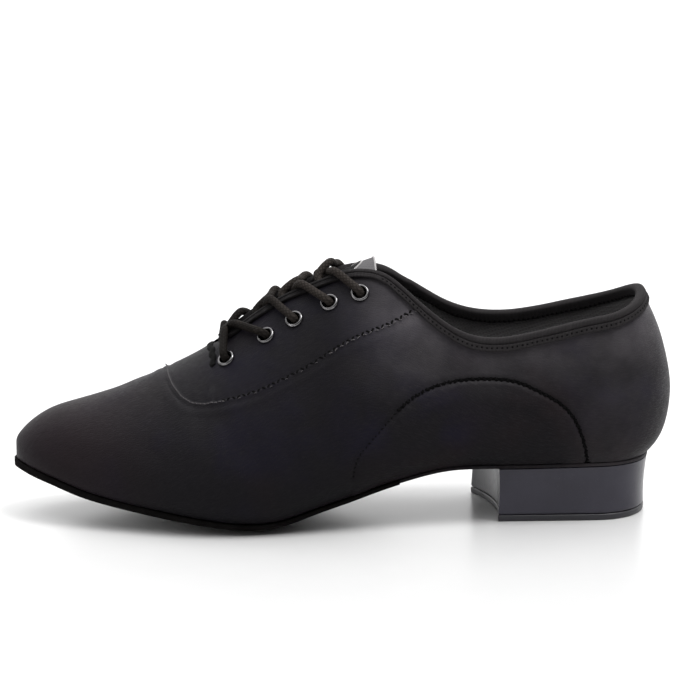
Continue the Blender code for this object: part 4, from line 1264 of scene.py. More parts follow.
def suede_finish(name, value):
    """Napped suede, brushed in patches and darker where it is rubbed."""
    finish = Finish(name, {"Specular IOR Level": 0.02})
    graph = finish.graph
    nap = finish.use(nap_group(), place=finish.place)
    wear = finish.wear()
    base = graph.mix(nap["Brushed"], scaled(value, 0.75), scaled(value, 1.5))
    base = graph.mix(nap["Fibre"], base, scaled(value, 2.2), 0.5)
    base = graph.mix(wear["Rubbed"], base, scaled(value, 0.6), 0.5)
    rough = graph.line(nap["Brushed"], 0.08, 0.86)
    return finish.linked(base, rough, (nap["Height"], 0.00018))


def lacquer_finish(name, value):
    """Sprayed lacquer over a moulded heel: smooth, with faint scratches and dust."""
    sockets = {"Coat Weight": 0.12, "Coat Roughness": 0.10, "Specular IOR Level": 0.20}
    finish = Finish(name, sockets)
    graph = finish.graph
    wear = finish.wear()
    scratch = graph.noise(graph.stretch(finish.place, (60, 60, 1500)), 1.0, 4.0, 0.7)
    fine = graph.span(scratch, 0.60, 0.76)
    base = graph.mix(wear["Broad"], value, scaled(value, 1.22))
    base = graph.mix(wear["Lint"], base, (0.14, 0.14, 0.15), 0.4)
    rough = graph.line(fine, 0.06, 0.30)
    rough = graph.line(wear["Rubbed"], 0.12, rough)
    peel = graph.noise(finish.place, 900.0, 2.0)
    return finish.linked(base, rough, (peel, 0.000030), (fine, 0.000004))


def rubber_finish(name, value):
    """Hard rubber with a fine pebbled grain."""
    finish = Finish(name, {"Specular IOR Level": 0.45})
    graph = finish.graph
    grain = graph.add("ShaderNodeTexVoronoi", {"Vector": finish.place, "Scale": 1500.0})
    wear = finish.wear()
    base = graph.mix(wear["Broad"], scaled(value, 0.85), scaled(value, 1.2))
    base = graph.mix(wear["Rubbed"], base, scaled(value, 1.8), 0.3)
    rough = graph.line(wear["Rubbed"], 0.2, 0.42)
    return finish.linked(base, rough, (grain.outputs["Distance"], 0.00005))


def nickel_finish(name, value):
    """Black nickel rings, rubbed brighter in patches."""
    finish = Finish(name, {"Metallic": 1.0})
    graph = finish.graph
    wear = finish.wear()
    base = graph.mix(wear["Rubbed"], value, scaled(value, 2.6))
    rough = graph.line(wear["Rubbed"], 0.12, 0.20)
    return finish.linked(base, rough, (graph.noise(finish.place, 2400.0, 2.0), 0.00002))


def floor_finish(name, value):
    """Pale matt board with a soft reflection."""
    finish = Finish(name, {"Specular IOR Level": 0.5, "Roughness": 0.28})
    graph = finish.graph
    grain = graph.span(graph.noise(finish.place, 60.0, 4.0), 0.3, 0.7)
    return finish.linked(graph.mix(grain, scaled(value, 0.99), value))


# Each finish: its maker, its colour's name, and what else the maker is given
FINISHES = {
    "satin_cloth": (satin_finish, "cloth"),
    # The covered waist is the cloth painted 1.3 times lighter: painted light where it lies in shade under the
    # upper.
    "satin_waist": (satin_finish, "cloth", 1.3),
    "lining": (lining_finish, "lining"),
    "insole_sock": (lining_finish, "insole", 0.0009),
    "tongue_cloth": (lining_finish, "tongue", 0.0005, 1.5),
    "tongue_patch": (lining_finish, "label", 0.0006, 1.3),
    "patch_edge": (thread_finish, "label_edge"),
    "ribbed_tape": (tape_finish, "binding"),
    "seam_thread": (thread_finish, "thread"),
    "pale_thread": (thread_finish, "thread_light"),
    "round_lace": (braid_finish, "lace", 0.0021, 6.0, 0.00014),
    "napped_suede": (suede_finish, "suede"),
    "slate_lacquer": (lacquer_finish, "lacquer"),
    "hard_rubber": (rubber_finish, "top_piece"),
    "eyelet_nickel": (nickel_finish, "eyelet"),
    "studio_floor": (floor_finish, "floor"),
}


def finish_named(name):
    """A finish from the table, made once with the scene's colours and sizes."""
    found = bpy.data.materials.get(name)
    if found:
        return found
    make, colour_name, *rest = FINISHES[name]
    return make(name, tuple(getattr(bpy.context.scene.oxford_colours, colour_name)), *rest)


def cloth_map_of(stations, side, ways, total):
    """Where each point lies on the cloth: round the foot, and down from the ridge."""
    u = np.interp(stations, MAP_STATIONS, MAP_LENGTHS)
    return np.stack(np.broadcast_arrays(u[:, None], side * (total[:, None] - ways)), -1)


MAP_STATIONS = np.linspace(0, 1, 400)
MAP_LENGTHS = round_the_foot(MAP_STATIONS)


def eyelet_frame(row, side):
    """Centre of an eyelet on the facing, with the way up the facing and its outward normal."""
    nearby = station_at(EYELET_SHARES[row]) + PROBES
    _, edge = sections_up_to_edge(nearby, side)
    points = cloth(nearby, side, edge[:, None] - EYELET_INSET_SHARES[row] * BALL_WIDTH + PROBES)
    up = unit(points[1, 2] - points[1, 0])
    normal = unit(np.cross(up, points[2, 1] - points[0, 1]) * side)
    return points[1, 1], up, normal


def upper_skin_stations():
    """Even steps from toe to heel, crowded where the facing's seam crosses the vamp."""
    even = np.linspace(0, 1, SKIN_STATIONS)
    spread = np.linspace(-0.0006, 0.018, CROWDED_STATIONS)
    crowded = station_at(SEAM_FRONT_SHARE + spread)
    throat = station_at(THROAT_START_SHARE)
    return np.unique(np.concatenate([even, crowded, throat + np.array([0, 6e-4, 1.4e-3])]))


def skin_rows(stations, side, below=52, above=42):
    """Lengths up each section, with rows that follow the facing's seam closely."""
    total, edge = sections_up_to_edge(stations, side)
    share = share_of(stations)
    line = (total - seam_drop(np.clip(share, ROWS_FROM, SEAM_END_SHARE))) / edge
    front = share < ROWS_READ
    ahead, behind = (float(np.interp(at, share[front], line[front])) for at in (ROWS_FROM, ROWS_TO))
    line = np.where(share < ROWS_FROM, ahead, line)
    relaxed = ROWS_BEHIND + (behind - ROWS_BEHIND) * (1 - smoothstep(share, ROWS_TO, ROWS_FADED))
    line = np.where(share > ROWS_TO, relaxed, line) * edge
    close = np.array([-1.4, -0.9, -0.5, -0.25, 0.0, 0.25, 0.5, 0.9, 1.4]) / 1000
    close = close[None] * (np.minimum(ROW_MARGIN, 0.2 * line) / ROW_MARGIN)[:, None]
    low = np.linspace(0, 1, below)[None, :-1] * (line + close[:, 0])[:, None]
    start = (line + close[:, -1])[:, None]
    high = start + np.linspace(0, 1, above)[None, 1:] * (edge[:, None] - start)
    return np.concatenate([low, line[:, None] + close, high], axis=1), total


def without_eyelet_holes(shape, radius):
    """Deletes the faces round each eyelet's axis."""
    centres = np.array([face.calc_center_median()[:] for face in shape.faces])
    hit = np.zeros(len(centres), bool)
    for row in range(len(EYELET_SHARES)):
        for side in (LATERAL, MEDIAL):
            centre, _, normal = eyelet_frame(row, side)
            away = centres - centre
            depth = away @ normal
            across = np.linalg.norm(away - depth[:, None] * normal, axis=1)
            hit |= (across < radius) & (np.abs(depth) < 0.006)
    faces = [face for face, gone in zip(shape.faces, hit) if gone]
    bmesh.ops.delete(shape, geom=faces, context="FACES")


def upper_cloth_piece():
    """The outer cloth from the feather to the opening's edge, tucked under at the feather."""
    patches = Patches()
    stations = upper_skin_stations()
    for side in (LATERAL, MEDIAL):
        ways, total = skin_rows(stations, side)
        points = cloth(stations, side, ways)
        start, _ = section_frame(stations, side)
        inward = np.concatenate([start, points[:, 0, 2:]], axis=1) - points[:, 0]
        reach = np.minimum(TUCK, 0.6 * np.linalg.norm(inward, axis=1))
        tucked = points[:, 0] + unit(inward) * reach[:, None] - (0, 0, 0.0001)
        ways = np.concatenate([ways[:, :1] - TUCK, ways], axis=1)
        points = np.concatenate([tucked[:, None], points], axis=1)
        patches.grid(points, cloth_map_of(stations, side, ways, total), flip=side == LATERAL)
    piece = patches.build("upper_cloth", "satin_cloth", cut=OUTER_HOLE)
    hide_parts("upper")


def lining_piece():
    """The lining inside the upper, from under the insole to the binding."""
    patches = Patches()
    stations = np.linspace(station_at(0.02), 1, LINING_STATIONS)
    for side in (LATERAL, MEDIAL):
        total, edge = sections_up_to_edge(stations, side)
        ways = edge[:, None] * np.linspace(0.0, 1, 56)[None]
        below = edge[:, None] - ways
        thick = EDGE_WALL + (WALL - EDGE_WALL) * np.clip((below - BINDING_DROP) / EDGE_TAPER, 0, 1)
        points = cloth(stations, side, ways, -thick)
        patches.grid(points, cloth_map_of(stations, side, ways, total), flip=side == MEDIAL)
    patches.build("lining", "lining", cut=INNER_HOLE)


def facing_seam_line(side, first, last):
    """The facing's seam from the ridge back to the collar, on the cloth."""
    t = np.linspace(first, last, SEAM_STATIONS)
    share = SEAM_FRONT_SHARE + 2e-5 + (SEAM_END_SHARE - SEAM_FRONT_SHARE) * t**2
    stations = station_at(share)
    total, edge = sections_up_to_edge(stations, side)
    ways = total - seam_drop(share)
    keep = ways < edge - SEAM_STOP
    return line_on_cloth(stations[keep], side, ways[keep])


def arch_line(side):
    """The stitched arch over the waist, down to the sole on both of its ends."""
    x, height = arch_run(SEAM_STATIONS)
    share = x / LENGTH + 0.5
    kept = height > feather_height(share) + ARCH_STOP
    stations = station_at(share[kept])
    return line_on_cloth(stations, side, way_at_height(stations, side, height[kept]))


def seams_piece():
    """Stitches and cords of the facing's seam and of the arch, on both sides, with rows of pale thread as
    painted highlights.
    """
    sizes = bpy.context.scene.oxford_sizes
    length, width, cord = sizes.stitch_length, sizes.thread_width, sizes.cord_width
    pitch = length + sizes.stitch_gap
    dark = Patches()
    # The pale rows are painted highlights: the facing's lit fold edge and stitches that catch the light.
    pale = Patches()
    # Where each row starts and ends on the seam, then pitch, length, width, turn and offset
    rows = (
        (pale, 0.05, 0.47, 0.75, 0.85, 0.9, 0.0, -0.0005),
        (pale, 0.05, 0.47, 0.75, 0.85, 0.9, 0.0, 0.0014),
        (dark, 0.47, 1.0, 0.95, 1.35, 1.8, 0.85, 0.0002),
        (pale, 0.47, 0.80, 3.1, 0.6, 0.6, 0.3, -0.0011),
        (pale, 0.80, 1.0, 1.2, 1.0, 0.9, 0.45, -0.0009),
    )
    for side in (LATERAL, MEDIAL):
        for patches, first, last, apart, long, wide, turn, offset in rows:
            line, normals = facing_seam_line(side, first, last)
            stitches(patches, line, normals, pitch * apart, length * long, width * wide, turn, offset)
        line, normals = arch_line(side)
        line, normals = resample(line, FINE_STEP, normals)
        start = len(line) // 4
        stitches(dark, line[:start], normals[:start], pitch * 0.85, length * 1.1, width, 0.6, 0.0)
        line, normals = line[start:], normals[start:]
        stitches(dark, line, normals, pitch * 1.05, length * 1.8, cord * 0.80, 0.85, 0.0)
        tube(dark, line, normals, cord * 0.50, 8, np.full(len(line), 0.35))
        # Pale stitches on the arch's top, painted highlights.
        top = slice(len(line) // 12, len(line) // 2)
        stitches(pale, line[top], normals[top], pitch * 0.95, length * 0.7, width * 0.8, 0.5, -0.0010)
    dark.build("seam_stitches", "seam_thread")
    pale.build("highlight_stitches", "pale_thread")


def throat_tack_piece():
    """The thread band that holds the front of the throat, over the vamp's ridge."""
    width = bpy.context.scene.oxford_sizes.thread_width * 1.5
    patches = Patches()
    t = np.linspace(0, 1, 60)
    bow = TACK_BOW_SHARE * np.sin(t * math.pi / 2)
    stations = station_at(TACK_SHARE + bow + TACK_SWAY_SHARE * np.sin(t * 19))
    for side in (LATERAL, MEDIAL):
        total, _ = sections_up_to_edge(stations, side)
        line, normals = line_on_cloth(stations, side, total - 0.0004 - TACK_REACH * t)
        stitches(patches, line, normals, TACK_PITCH, TACK_STITCH, width, 1.2, 0.0, 0.25, 7, 9)
        tube(patches, line - normals * 0.0001, normals, TACK_RADIUS, 10, np.full(len(line), 0.5))
    patches.build("throat_tack", "seam_thread")


def edge_strip(stations, side):
    """Points on the opening's edge, with the way down the wall and the wall's outward normal."""
    _, edge = sections_up_to_edge(stations, side)
    points = cloth(stations, side, np.stack([edge - BINDING_DROP / 2, edge], axis=1))
    down = unit(points[:, 0] - points[:, 1])
    along = unit(np.gradient(points[:, 1], axis=0))
    normal = unit(np.cross(along, down) * side)
    return points[:, 1], down, normal


def eased(line, reach=9, width=3.5):
    """A line's points averaged with their neighbours, but for the points at its ends."""
    weights = np.exp(-0.5 * (np.arange(-reach, reach + 1) / width) ** 2)
    weights /= weights.sum()
    smooth = line.copy()
    smooth[reach:-reach] = np.stack([np.convolve(part, weights, mode="valid") for part in line.T], -1)
    return smooth


def binding_piece():
    """The ribbed tape folded over the edge of the facings and the collar, with its stitches."""
    stations = np.linspace(station_at(THROAT_START_SHARE + BINDING_START_SHARE), 1, BINDING_STATIONS)
    rows = []
    for side in (LATERAL, MEDIAL):
        order = slice(None) if side == LATERAL else slice(-2, None, -1)
        rows.append([values[order] for values in (*edge_strip(stations, side), share_of(stations))])
    point, down, normal, share = (np.concatenate(pair) for pair in zip(*rows))
    point, down, normal = eased(point), unit(eased(down)), unit(eased(normal))
    way = way_along(point)
    drop = TAPE_DROP_AT_FACING + TAPE_DROP_GAIN * smoothstep(share, 0.535, 0.585)
    drop = drop + 0.00012 * np.sin(way * 310) + 0.00008 * np.sin(way * 790 + 1)
    stand = GAP + BINDING_EASE
    reach = stand + BINDING_THICKNESS
    inner = -EDGE_WALL - reach
    half = EDGE_WALL / 2 + reach
    profile = [(0.90, 0.00005, 0)]
    profile += [(down_share, stand + over, 0) for down_share, over in TAPE_UNDER]
    profile += [(down_share, reach + over, 0) for down_share, over in TAPE_OUTSIDE]
    for angle in np.linspace(0, math.pi, 11):
        profile.append((0.0, half * math.cos(angle) - EDGE_WALL / 2, -reach * math.sin(angle)))
    profile += [(down_share, inner + over, 0) for down_share, over in TAPE_INSIDE]
    profile.append((0.84, -EDGE_WALL, 0))
    runs = [
        point + down * (down_share * drop + above)[:, None] + normal * out
        for down_share, out, above in profile
    ]
    grid = np.stack(runs, axis=1)
    cloth_map = np.stack(np.broadcast_arrays(way[:, None], way_along(grid[200])[None]), -1)
    patches = Patches()
    patches.grid(grid, cloth_map, flip=True)
    for end in (0, -1):
        patches.cap(grid[end], flip=end == 0)
    piece = patches.build("edge_binding", "ribbed_tape")
    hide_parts("collar_binding")
    width = bpy.context.scene.oxford_sizes.thread_width * 1.6
    thread = Patches()
    sewn = share > TAPE_SEWN_SHARE
    for out, depth, facing in ((reach - 0.0001, 0.66, normal), (inner - 0.0001, 0.62, -normal)):
        line = point + down * (drop * depth)[:, None] + normal * out
        stitches(thread, line[sewn], facing[sewn], TAPE_STITCH_PITCH, TAPE_STITCH, width, 0.35, 0.0, 0.2)
    thread.build("binding_stitches", "seam_thread")


def tongue_sheet(inset, edge_drop, rows=90, columns=40):
    """One face of the tongue, so far under the last's surface and dropped at its edges."""
    stations = np.linspace(station_at(TONGUE_FRONT_SHARE), station_at(TONGUE_TOP_SHARE), rows)
    reach = column(TONGUE, "reach", share_of(stations)) * BALL_WIDTH
    across = np.linspace(1, 0, columns)
    near_end = smoothstep(np.abs(np.linspace(-1, 1, rows)), 0.93, 1.0)
    near_side = smoothstep(across, 0.93, 1.0)
    low = inset + edge_drop * np.maximum(near_side[None], near_end[:, None])
    halves = []
    for side in (LATERAL, MEDIAL):
        total, _ = sections_up_to_edge(stations, side)
        ways = total[:, None] - reach[:, None] * across
        points, normals = surface(stations, side, ways)
        cloth_map = cloth_map_of(stations, side, ways, total)
        halves.append(np.concatenate([points - normals * low[..., None], cloth_map], axis=2))
    sheet = np.concatenate([halves[0], halves[1][:, -2::-1]], axis=1)
    return sheet[..., :3], sheet[..., 3:]


def rim_of(grid):
    """The outer points of a grid, once round."""
    return np.concatenate([grid[0], grid[1:-1, -1], grid[-1, ::-1], grid[-2::-1, 0]])


def tongue_piece():
    """The padded tongue under the facings, with a grey patch at its top."""
    sink = EDGE_WALL + SEAM_STEP + BINDING_THICKNESS + 2 * GAP + TONGUE_CLEARANCE
    patches = Patches()
    top, top_map = tongue_sheet(sink, TONGUE_EDGE_DROP)
    low, low_map = tongue_sheet(sink + TONGUE_THICKNESS, -TONGUE_EDGE_DROP)
    patches.grid(top, top_map, flip=True)
    patches.grid(low, low_map)
    patches.grid(np.stack([rim_of(top), rim_of(low)], axis=1), np.zeros(2))
    piece = patches.build("tongue_cloth", "tongue_cloth", closed=True, sharp=70)
    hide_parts("tongue")
    columns = []
    for across in np.linspace(-1, 1, 51):
        side = LATERAL if across <= 0 else MEDIAL
        depth = PATCH_HALF * abs(across)
        front = PATCH_FRONT_SHARE - PATCH_POINT_SHARE * smoothstep(depth, 0.0, PATCH_POINT_REACH)
        stations = np.linspace(station_at(front), station_at(PATCH_BACK_SHARE), 24)
        total, _ = sections_up_to_edge(stations, side)
        points, normals = surface(stations, side, (total - depth)[:, None])
        columns.append(points[:, 0] - normals[:, 0] * (sink - PATCH_STAND))
    face = np.stack(columns, axis=1)
    patch = Patches()
    patch.grid(face, face[..., :2], flip=True)
    patch.build("tongue_patch", "tongue_patch")
    rim = rim_of(face)
    line, facing = resample(rim, 0.0006, unit(rim - np.array([place(0.53), 0.0, 0.06])))
    edge = Patches()
    tube(edge, line, unit(facing), PATCH_CORD_RADIUS, 8, np.ones(len(line)))
    edge.build("tongue_patch_edge", "patch_edge")


def sole_outline(stations, side, lip):
    """A plan outline that stands off the feather by the lip, outwards."""

    def feather_line(at):
        start, facing = section_frame(at, side)
        return start + facing * width_at(at, side, "feather")[:, None]

    before = feather_line(np.maximum(stations - PROBE, 0))
    along = unit(feather_line(np.minimum(stations + PROBE, 1)) - before)
    if stations[0] < PROBE:
        along[0] = (0, side)
    if stations[-1] > 1 - PROBE:
        along[-1] = (0, -side)
    outwards = np.stack([-along[:, 1], along[:, 0]], -1) * side
    return feather_line(stations) + outwards * lip


def lower_face(share, offset):
    """The sole's lower face: crowned across, and worn flat where it stands."""
    crown = BALL_WIDTH * column(SOLE, "crown", share)
    return np.maximum(sole_centre(share) + crown * offset**2, 0)


def upper_face(share, offset):
    """The face that the upper and the insole rest on."""
    crown = BALL_WIDTH * column(SOLE, "crown", share)
    thick = SOLE_THICKNESS * column(SOLE, "substance", share)
    return sole_centre(share) + crown * offset**2 + thick - GAP


def rounded_slab(name, ends, lip, low_face, high_face, radius, finish, node):
    """A slab with rounded edges. Each face is a height's function and what is added to it."""
    stations = np.linspace(*ends, SLAB_STATIONS)
    left = sole_outline(stations, LATERAL, lip)
    right = sole_outline(stations, MEDIAL, lip)
    width = np.linalg.norm(left - right, axis=1)
    narrow = np.clip(width / NARROW_SOLE, 0, 1)
    rise = np.linspace(0, 1, 9)
    over = np.clip((np.abs(2 * rise - 1) - EDGE_FLAT_SHARE) / (1 - EDGE_FLAT_SHARE), 0, 1)
    inset = radius * (1 - np.sqrt(1 - over**2 * 0.98))
    inset = np.minimum(inset[None], 0.45 * width[:, None]) / np.maximum(width, 1e-6)[:, None]
    flat = np.linspace(0, 1, 27)[1:-1]
    low_p = inset[:, :1] + (1 - 2 * inset[:, :1]) * flat[None]
    high_p = inset[:, -1:] + (1 - 2 * inset[:, -1:]) * flat[None, ::-1]
    p = np.concatenate([low_p, 1 - inset, high_p, inset[:, ::-1]], axis=1)
    h = np.concatenate([np.zeros(len(flat)), rise, np.ones(len(flat)), rise[::-1]])
    plan = left[:, None] * (1 - p)[..., None] + right[:, None] * p[..., None]
    share = np.clip(plan[..., 0] / LENGTH + 0.5, 0, 1)
    offset = 1 - (1 - 2 * np.abs(p - 0.5)) * narrow[:, None]
    low, high = (height(share, offset) + added for height, added in (low_face, high_face))
    points = np.concatenate([plan, (low + h[None] * (high - low))[..., None]], -1)
    patches = Patches()
    patches.grid(points, plan, wrap=True)
    for end in (0, -1):
        if width[end] > 0.002:
            patches.cap(points[end], flip=end == 0)
    piece = patches.build(name, finish, closed=True, sharp=60)
    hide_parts(node)


def soles():
    """Split suede sole, covered waist and insole."""
    rounding = bpy.context.scene.oxford_sizes.edge_round
    rounded_slab(
        "suede_outsole", (0.0, station_at(SOLE_SPLIT_SHARE)), SOLE_LIP, (lower_face, 0.0),
        (upper_face, 0.0), rounding, "napped_suede", "outsole",
    )
    rounded_slab(
        "covered_waist", (station_at(SOLE_SPLIT_SHARE + GAP / LENGTH), 1.0), WAIST_LIP,
        (lower_face, SOLE_SPLIT_STEP), (upper_face, 0.0), rounding * 0.8,
        "satin_waist", "waist_cover",
    )
    rounded_slab(
        "insole_sock", (0.0, 1.0), -(WALL + INSOLE_CLEARANCE), (upper_face, GAP),
        (upper_face, GAP + INSOLE_THICKNESS), rounding, "insole_sock", "insole",
    )


def breast_line(across):
    """How far along the shoe the heel's hollow breast stands, for -1 lateral to 1 medial."""
    return place(BREAST_SHARE) - BREAST_SLANT / 2 * across + BREAST_HOLLOW * (1 - across**2)


def heel_ring(shrink, rounding, count=260):
    """The heel's plan outline with rounded breast corners, as a closed ring of even points."""
    stations = np.linspace(station_at(BREAST_SHARE - 0.02), 1.0, 160)
    sides = []
    corners = []
    for side in (LATERAL, MEDIAL):
        line = sole_outline(stations, side, -shrink)
        front = float(breast_line(side))
        corners.append((front, float(np.interp(front, line[:, 0], line[:, 1]))))
        sides.append(line[line[:, 0] > front].tolist())
    outline = [corners[0], *sides[0], *sides[1][-2::-1], corners[1]]
    for across in np.linspace(1, -1, 60)[1:-1]:
        y = float(np.interp(across, (-1, 1), (corners[0][1], corners[1][1])))
        outline.append((float(breast_line(across)), y))
    outline.append(corners[0])
    ring = resample(np.array(outline), HEEL_STEP)[0][:-1]
    reach = max(int(round(rounding / HEEL_STEP)), 1)
    weights = np.exp(-0.5 * (np.arange(-3 * reach, 3 * reach + 1) / (0.5 * reach)) ** 2)
    weights /= weights.sum()
    padded = np.concatenate([ring[-3 * reach:], ring, ring[: 3 * reach]])
    smooth = np.stack([np.convolve(part, weights, mode="valid") for part in padded.T], -1)
    return smooth[np.linspace(0, len(smooth), count, endpoint=False).astype(int)]


def stacked_rings(name, plans, heights, finish, sharp):
    """A closed piece from plan outlines, each at its heights, one over another."""
    rings = [np.column_stack([plan, np.broadcast_to(z, len(plan))]) for plan, z in zip(plans, heights)]
    patches = Patches()
    patches.grid(np.array(rings), np.zeros(2), wrap=True)
    patches.cap(rings[0])
    patches.cap(rings[-1], flip=True)
    return patches.build(name, finish, closed=True, sharp=sharp)


def heel_pieces():
    """The lacquered block and the rubber top piece under it."""
    rounding = bpy.context.scene.oxford_sizes.heel_round
    bottom = heel_ring(HEEL_TAPER, rounding)
    top = heel_ring(0.0, rounding)
    middle = bottom.mean(axis=0)
    low = TOP_PIECE_THICKNESS + GAP
    seat = lower_face(np.clip(top[:, 0] / LENGTH + 0.5, 0, 1), np.zeros(len(top))) + SOLE_SPLIT_STEP - GAP
    plans = []
    heights = []
    for t in np.concatenate([[0, 0.012, 0.03], np.linspace(0.06, 0.97, 22), [1.0]]):
        set_in = HEEL_HOLLOW * (math.sin(math.pi * t) + max(1 - t / 0.03, 0) ** 2)
        plan = bottom * (1 - t) + top * t
        plans.append(plan + unit(middle - plan) * set_in)
        heights.append(low + t * (seat - low))
    block = stacked_rings("lacquered_heel", plans, heights, "slate_lacquer", 45)
    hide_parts("heel_block")
    heights, set_ins = zip(*TOP_PIECE_EDGE)
    plans = [bottom + unit(middle - bottom) * set_in for set_in in set_ins]
    lift = stacked_rings("heel_rubber", plans, heights, "hard_rubber", 50)
    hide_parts("heel_top_piece")


def eyelet_pieces():
    """Ten turned rings, rolled over the cloth and set through it."""
    bore = EYELET_BORE / 2
    angle = np.arange(48) * 2 * math.pi / 48
    turning = np.array(EYELET_TURNING)
    radius = bore + (EYELET_DIAMETER / 2 - bore) * turning[:, 0]
    height = EYELET_RIM * turning[:, 1] + GAP * 0.4
    patches = Patches()
    for side in (LATERAL, MEDIAL):
        for row in range(len(EYELET_SHARES)):
            centre, up, normal = eyelet_frame(row, side)
            across = np.cross(up, normal)
            ring = across[None] * np.cos(angle)[:, None] + up[None] * np.sin(angle)[:, None]
            grid = centre + ring[None] * radius[:, None, None] + normal * height[:, None, None]
            patches.grid(grid, np.zeros(2), wrap=True)
    piece = patches.build("eyelet_rings", "eyelet_nickel", sharp=80)
    nodes = [f"eyelet_{word}_{row + 1}" for word in ("lateral", "medial") for row in range(5)]
    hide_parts(*nodes)


def ridge_point(share, lift):
    """A point above the middle of the throat, at this share of the length."""
    station = np.array([station_at(share)])
    high = section_profiles(station, LATERAL)[0, -1, 1]
    return np.array((place(share), float(column(SECTIONS, "centre", share)) * BALL_WIDTH, high + lift))


def edge_point(share, side, out, inwards):
    """A point beside the facing's edge: out along its normal and inwards over the throat."""
    point, down, normal = edge_strip(station_at(share) + PROBES, side)
    return point[1] + normal[1] * out - down[1] * inwards


def crossing_points(row, side, lift, over, diameter, outside_start):
    """The lace from one row's eyelet over the throat and into the other side's eyelet of the next row."""
    over_at, middle_at, inside_at = UPPER_STRAND_SHARES if over else UNDER_STRAND_SHARES
    low_share = EYELET_SHARES[row - 1]
    spacing = EYELET_SHARES[row] - low_share
    centre, _, normal = eyelet_frame(row, side)
    radius = diameter / 2
    arch = diameter * STRAND_ARCH_SHARE
    beside = radius + BINDING_THICKNESS + BINDING_EASE
    rest = beside + 2 * GAP
    stand = EYELET_RIM + radius * STRAND_STAND_SHARE
    entry = centre + normal * stand
    above = edge_point(low_share + over_at * spacing, side, rest, -BINDING_EASE)
    middle = ridge_point(low_share + middle_at * spacing, lift)
    points = [entry, entry + (above - entry) * STRAND_RISE_SHARE + normal * arch, above]
    points += [(above + middle) / 2 + (0, 0, arch if row == 1 else -STRAND_SAG), middle]
    if outside_start:
        centre, _, normal = eyelet_frame(row - 1, -side)
        leave = edge_point(low_share + STRAND_LEAVE_SHARE * spacing, -side, rest, -BINDING_EASE)
        exit_point = centre + normal * stand
        points += [leave, (leave + exit_point) / 2 + normal * arch, exit_point]
    else:
        points.append(edge_point(low_share + inside_at * spacing, -side, -EDGE_WALL / 2, beside + 4 * GAP))
        dive = low_share - DIVE_SHARE * spacing
        points.append(edge_point(dive, -side, -EDGE_WALL - DIVE_DEPTH, -DIVE_REACH))
    return points[::-1]


def lace_run(first, diameter):
    """The points of the lace's half that starts on one side, and how flat it is pressed at each."""
    side = first
    centre, _, normal = eyelet_frame(0, side)
    points = [ridge_point(EYELET_SHARES[0], -HIDDEN_DEPTH)]
    points += [centre - normal * PASSAGE_DEPTH, centre - normal * BORE_DEPTH]
    flat = [SQUEEZED, SQUEEZED, 1.0]
    for row in range(1, len(EYELET_SHARES)):
        over = side == LATERAL
        lift = LACE_HUMPS[row - 1] - (0.0 if over else UNDER_STRAND_DROP)
        strand = crossing_points(row, -side, lift, over, diameter, row == 1)
        flat += [SQUEEZED if row > 1 else 1.0] + [1.0] * (len(strand) - 1)
        side = -side
        centre, _, normal = eyelet_frame(row, side)
        points += [*strand, centre - normal * BORE_DEPTH, centre - normal * PASSAGE_DEPTH]
        flat += [1.0, SQUEEZED]
    return np.array(points), flat


def lace_piece():
    """Two halves of one round lace, through all ten eyelets, with their ends inside the top row."""
    diameter = bpy.context.scene.oxford_sizes.lace_diameter
    patches = Patches()
    for first in (LATERAL, MEDIAL):
        points, flat = lace_run(first, diameter)
        knots = np.concatenate([[0], np.cumsum(np.linalg.norm(np.diff(points, axis=0), axis=1) ** 0.5)])
        at = np.linspace(0, knots[-1], LACE_STATIONS)
        line = np.stack([Smooth(knots, part)(at) for part in points.T], -1)
        line, flat = resample(line, FINE_STEP, np.interp(at, knots, flat)[:, None])
        outward = unit(line * (0, 1, 1) - (0, 0, 0.03))
        along = unit(np.gradient(line, axis=0))
        outward = unit(outward - along * np.sum(outward * along, axis=1)[:, None])
        tube(patches, line, outward, diameter / 2, 16, flat[:, 0])
    piece = patches.build("round_lace", "round_lace")
    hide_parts("lace_crossing_1", "lace_crossing_2", "lace_crossing_3", "lace_crossing_4")


# Studio
def studio_floor():
    """A large pale board at floor height."""
    steps = np.linspace(-30.0, 30.0, 13)
    points = np.stack(np.meshgrid(steps, steps, [0.0], indexing="ij"), -1).reshape(-1, 3)
    mesh = bpy.data.meshes.new("studio_floor")
    mesh.from_pydata(points.tolist(), [], quads_of(np.arange(169).reshape(13, 13)).tolist())
    mesh.uv_layers.new(name="cloth_map")
    mesh.materials.append(finish_named("studio_floor"))
    floor = bpy.data.objects.new("studio_floor", mesh)
    bpy.context.scene.collection.objects.link(floor)


def add_light(name, kind, power, way, location=(0.0, 0.0, 0.0)):
    """A light that shines along a way, and its settings."""
    lamp = bpy.data.lights.new(name, kind)
    lamp.energy = power
    light = bpy.data.objects.new(name, lamp)
    bpy.context.scene.collection.objects.link(light)
    light.location = location
    light.rotation_mode = "QUATERNION"
    light.rotation_quaternion = Vector(way).to_track_quat("-Z", "Y")
    return lamp


def studio_lights(studio):
    """A broad high light, a soft light off the toe, and a pale surround that is brighter above."""
    high = add_light("light_front", "SUN", studio.front_strength, (-0.40, 0.16, -0.90))
    high.angle = math.radians(25)
    toe = add_light("light_toe", "AREA", studio.toe_power, (1.15, 0.55, -0.46), (-1.15, -0.55, 0.50))
    toe.size = 0.60
    world = bpy.data.worlds.new("studio_surround")
    world.use_nodes = True
    graph = Graph(world.node_tree)
    shade = world.node_tree.nodes["Background"]
    graph.put((1.0, 1.0, 1.0), shade.inputs["Color"])
    _, back, up = graph.split(graph.add("ShaderNodeTexCoord").outputs["Generated"])
    above = graph.span(up, 0.60, 0.92, studio.around, studio.overhead)
    behind = graph.span(back, 0.0, 0.6, 0.0, studio.rear)
    rising = graph.span(up, 0.02, 0.12)
    near_horizon = graph.span(up, 0.05, 0.10, studio.backdrop - studio.around, 0.0)
    strength = graph.line(behind, rising, graph.math("ADD", above, near_horizon))
    graph.put(strength, shade.inputs["Strength"])
    bpy.context.scene.world = world


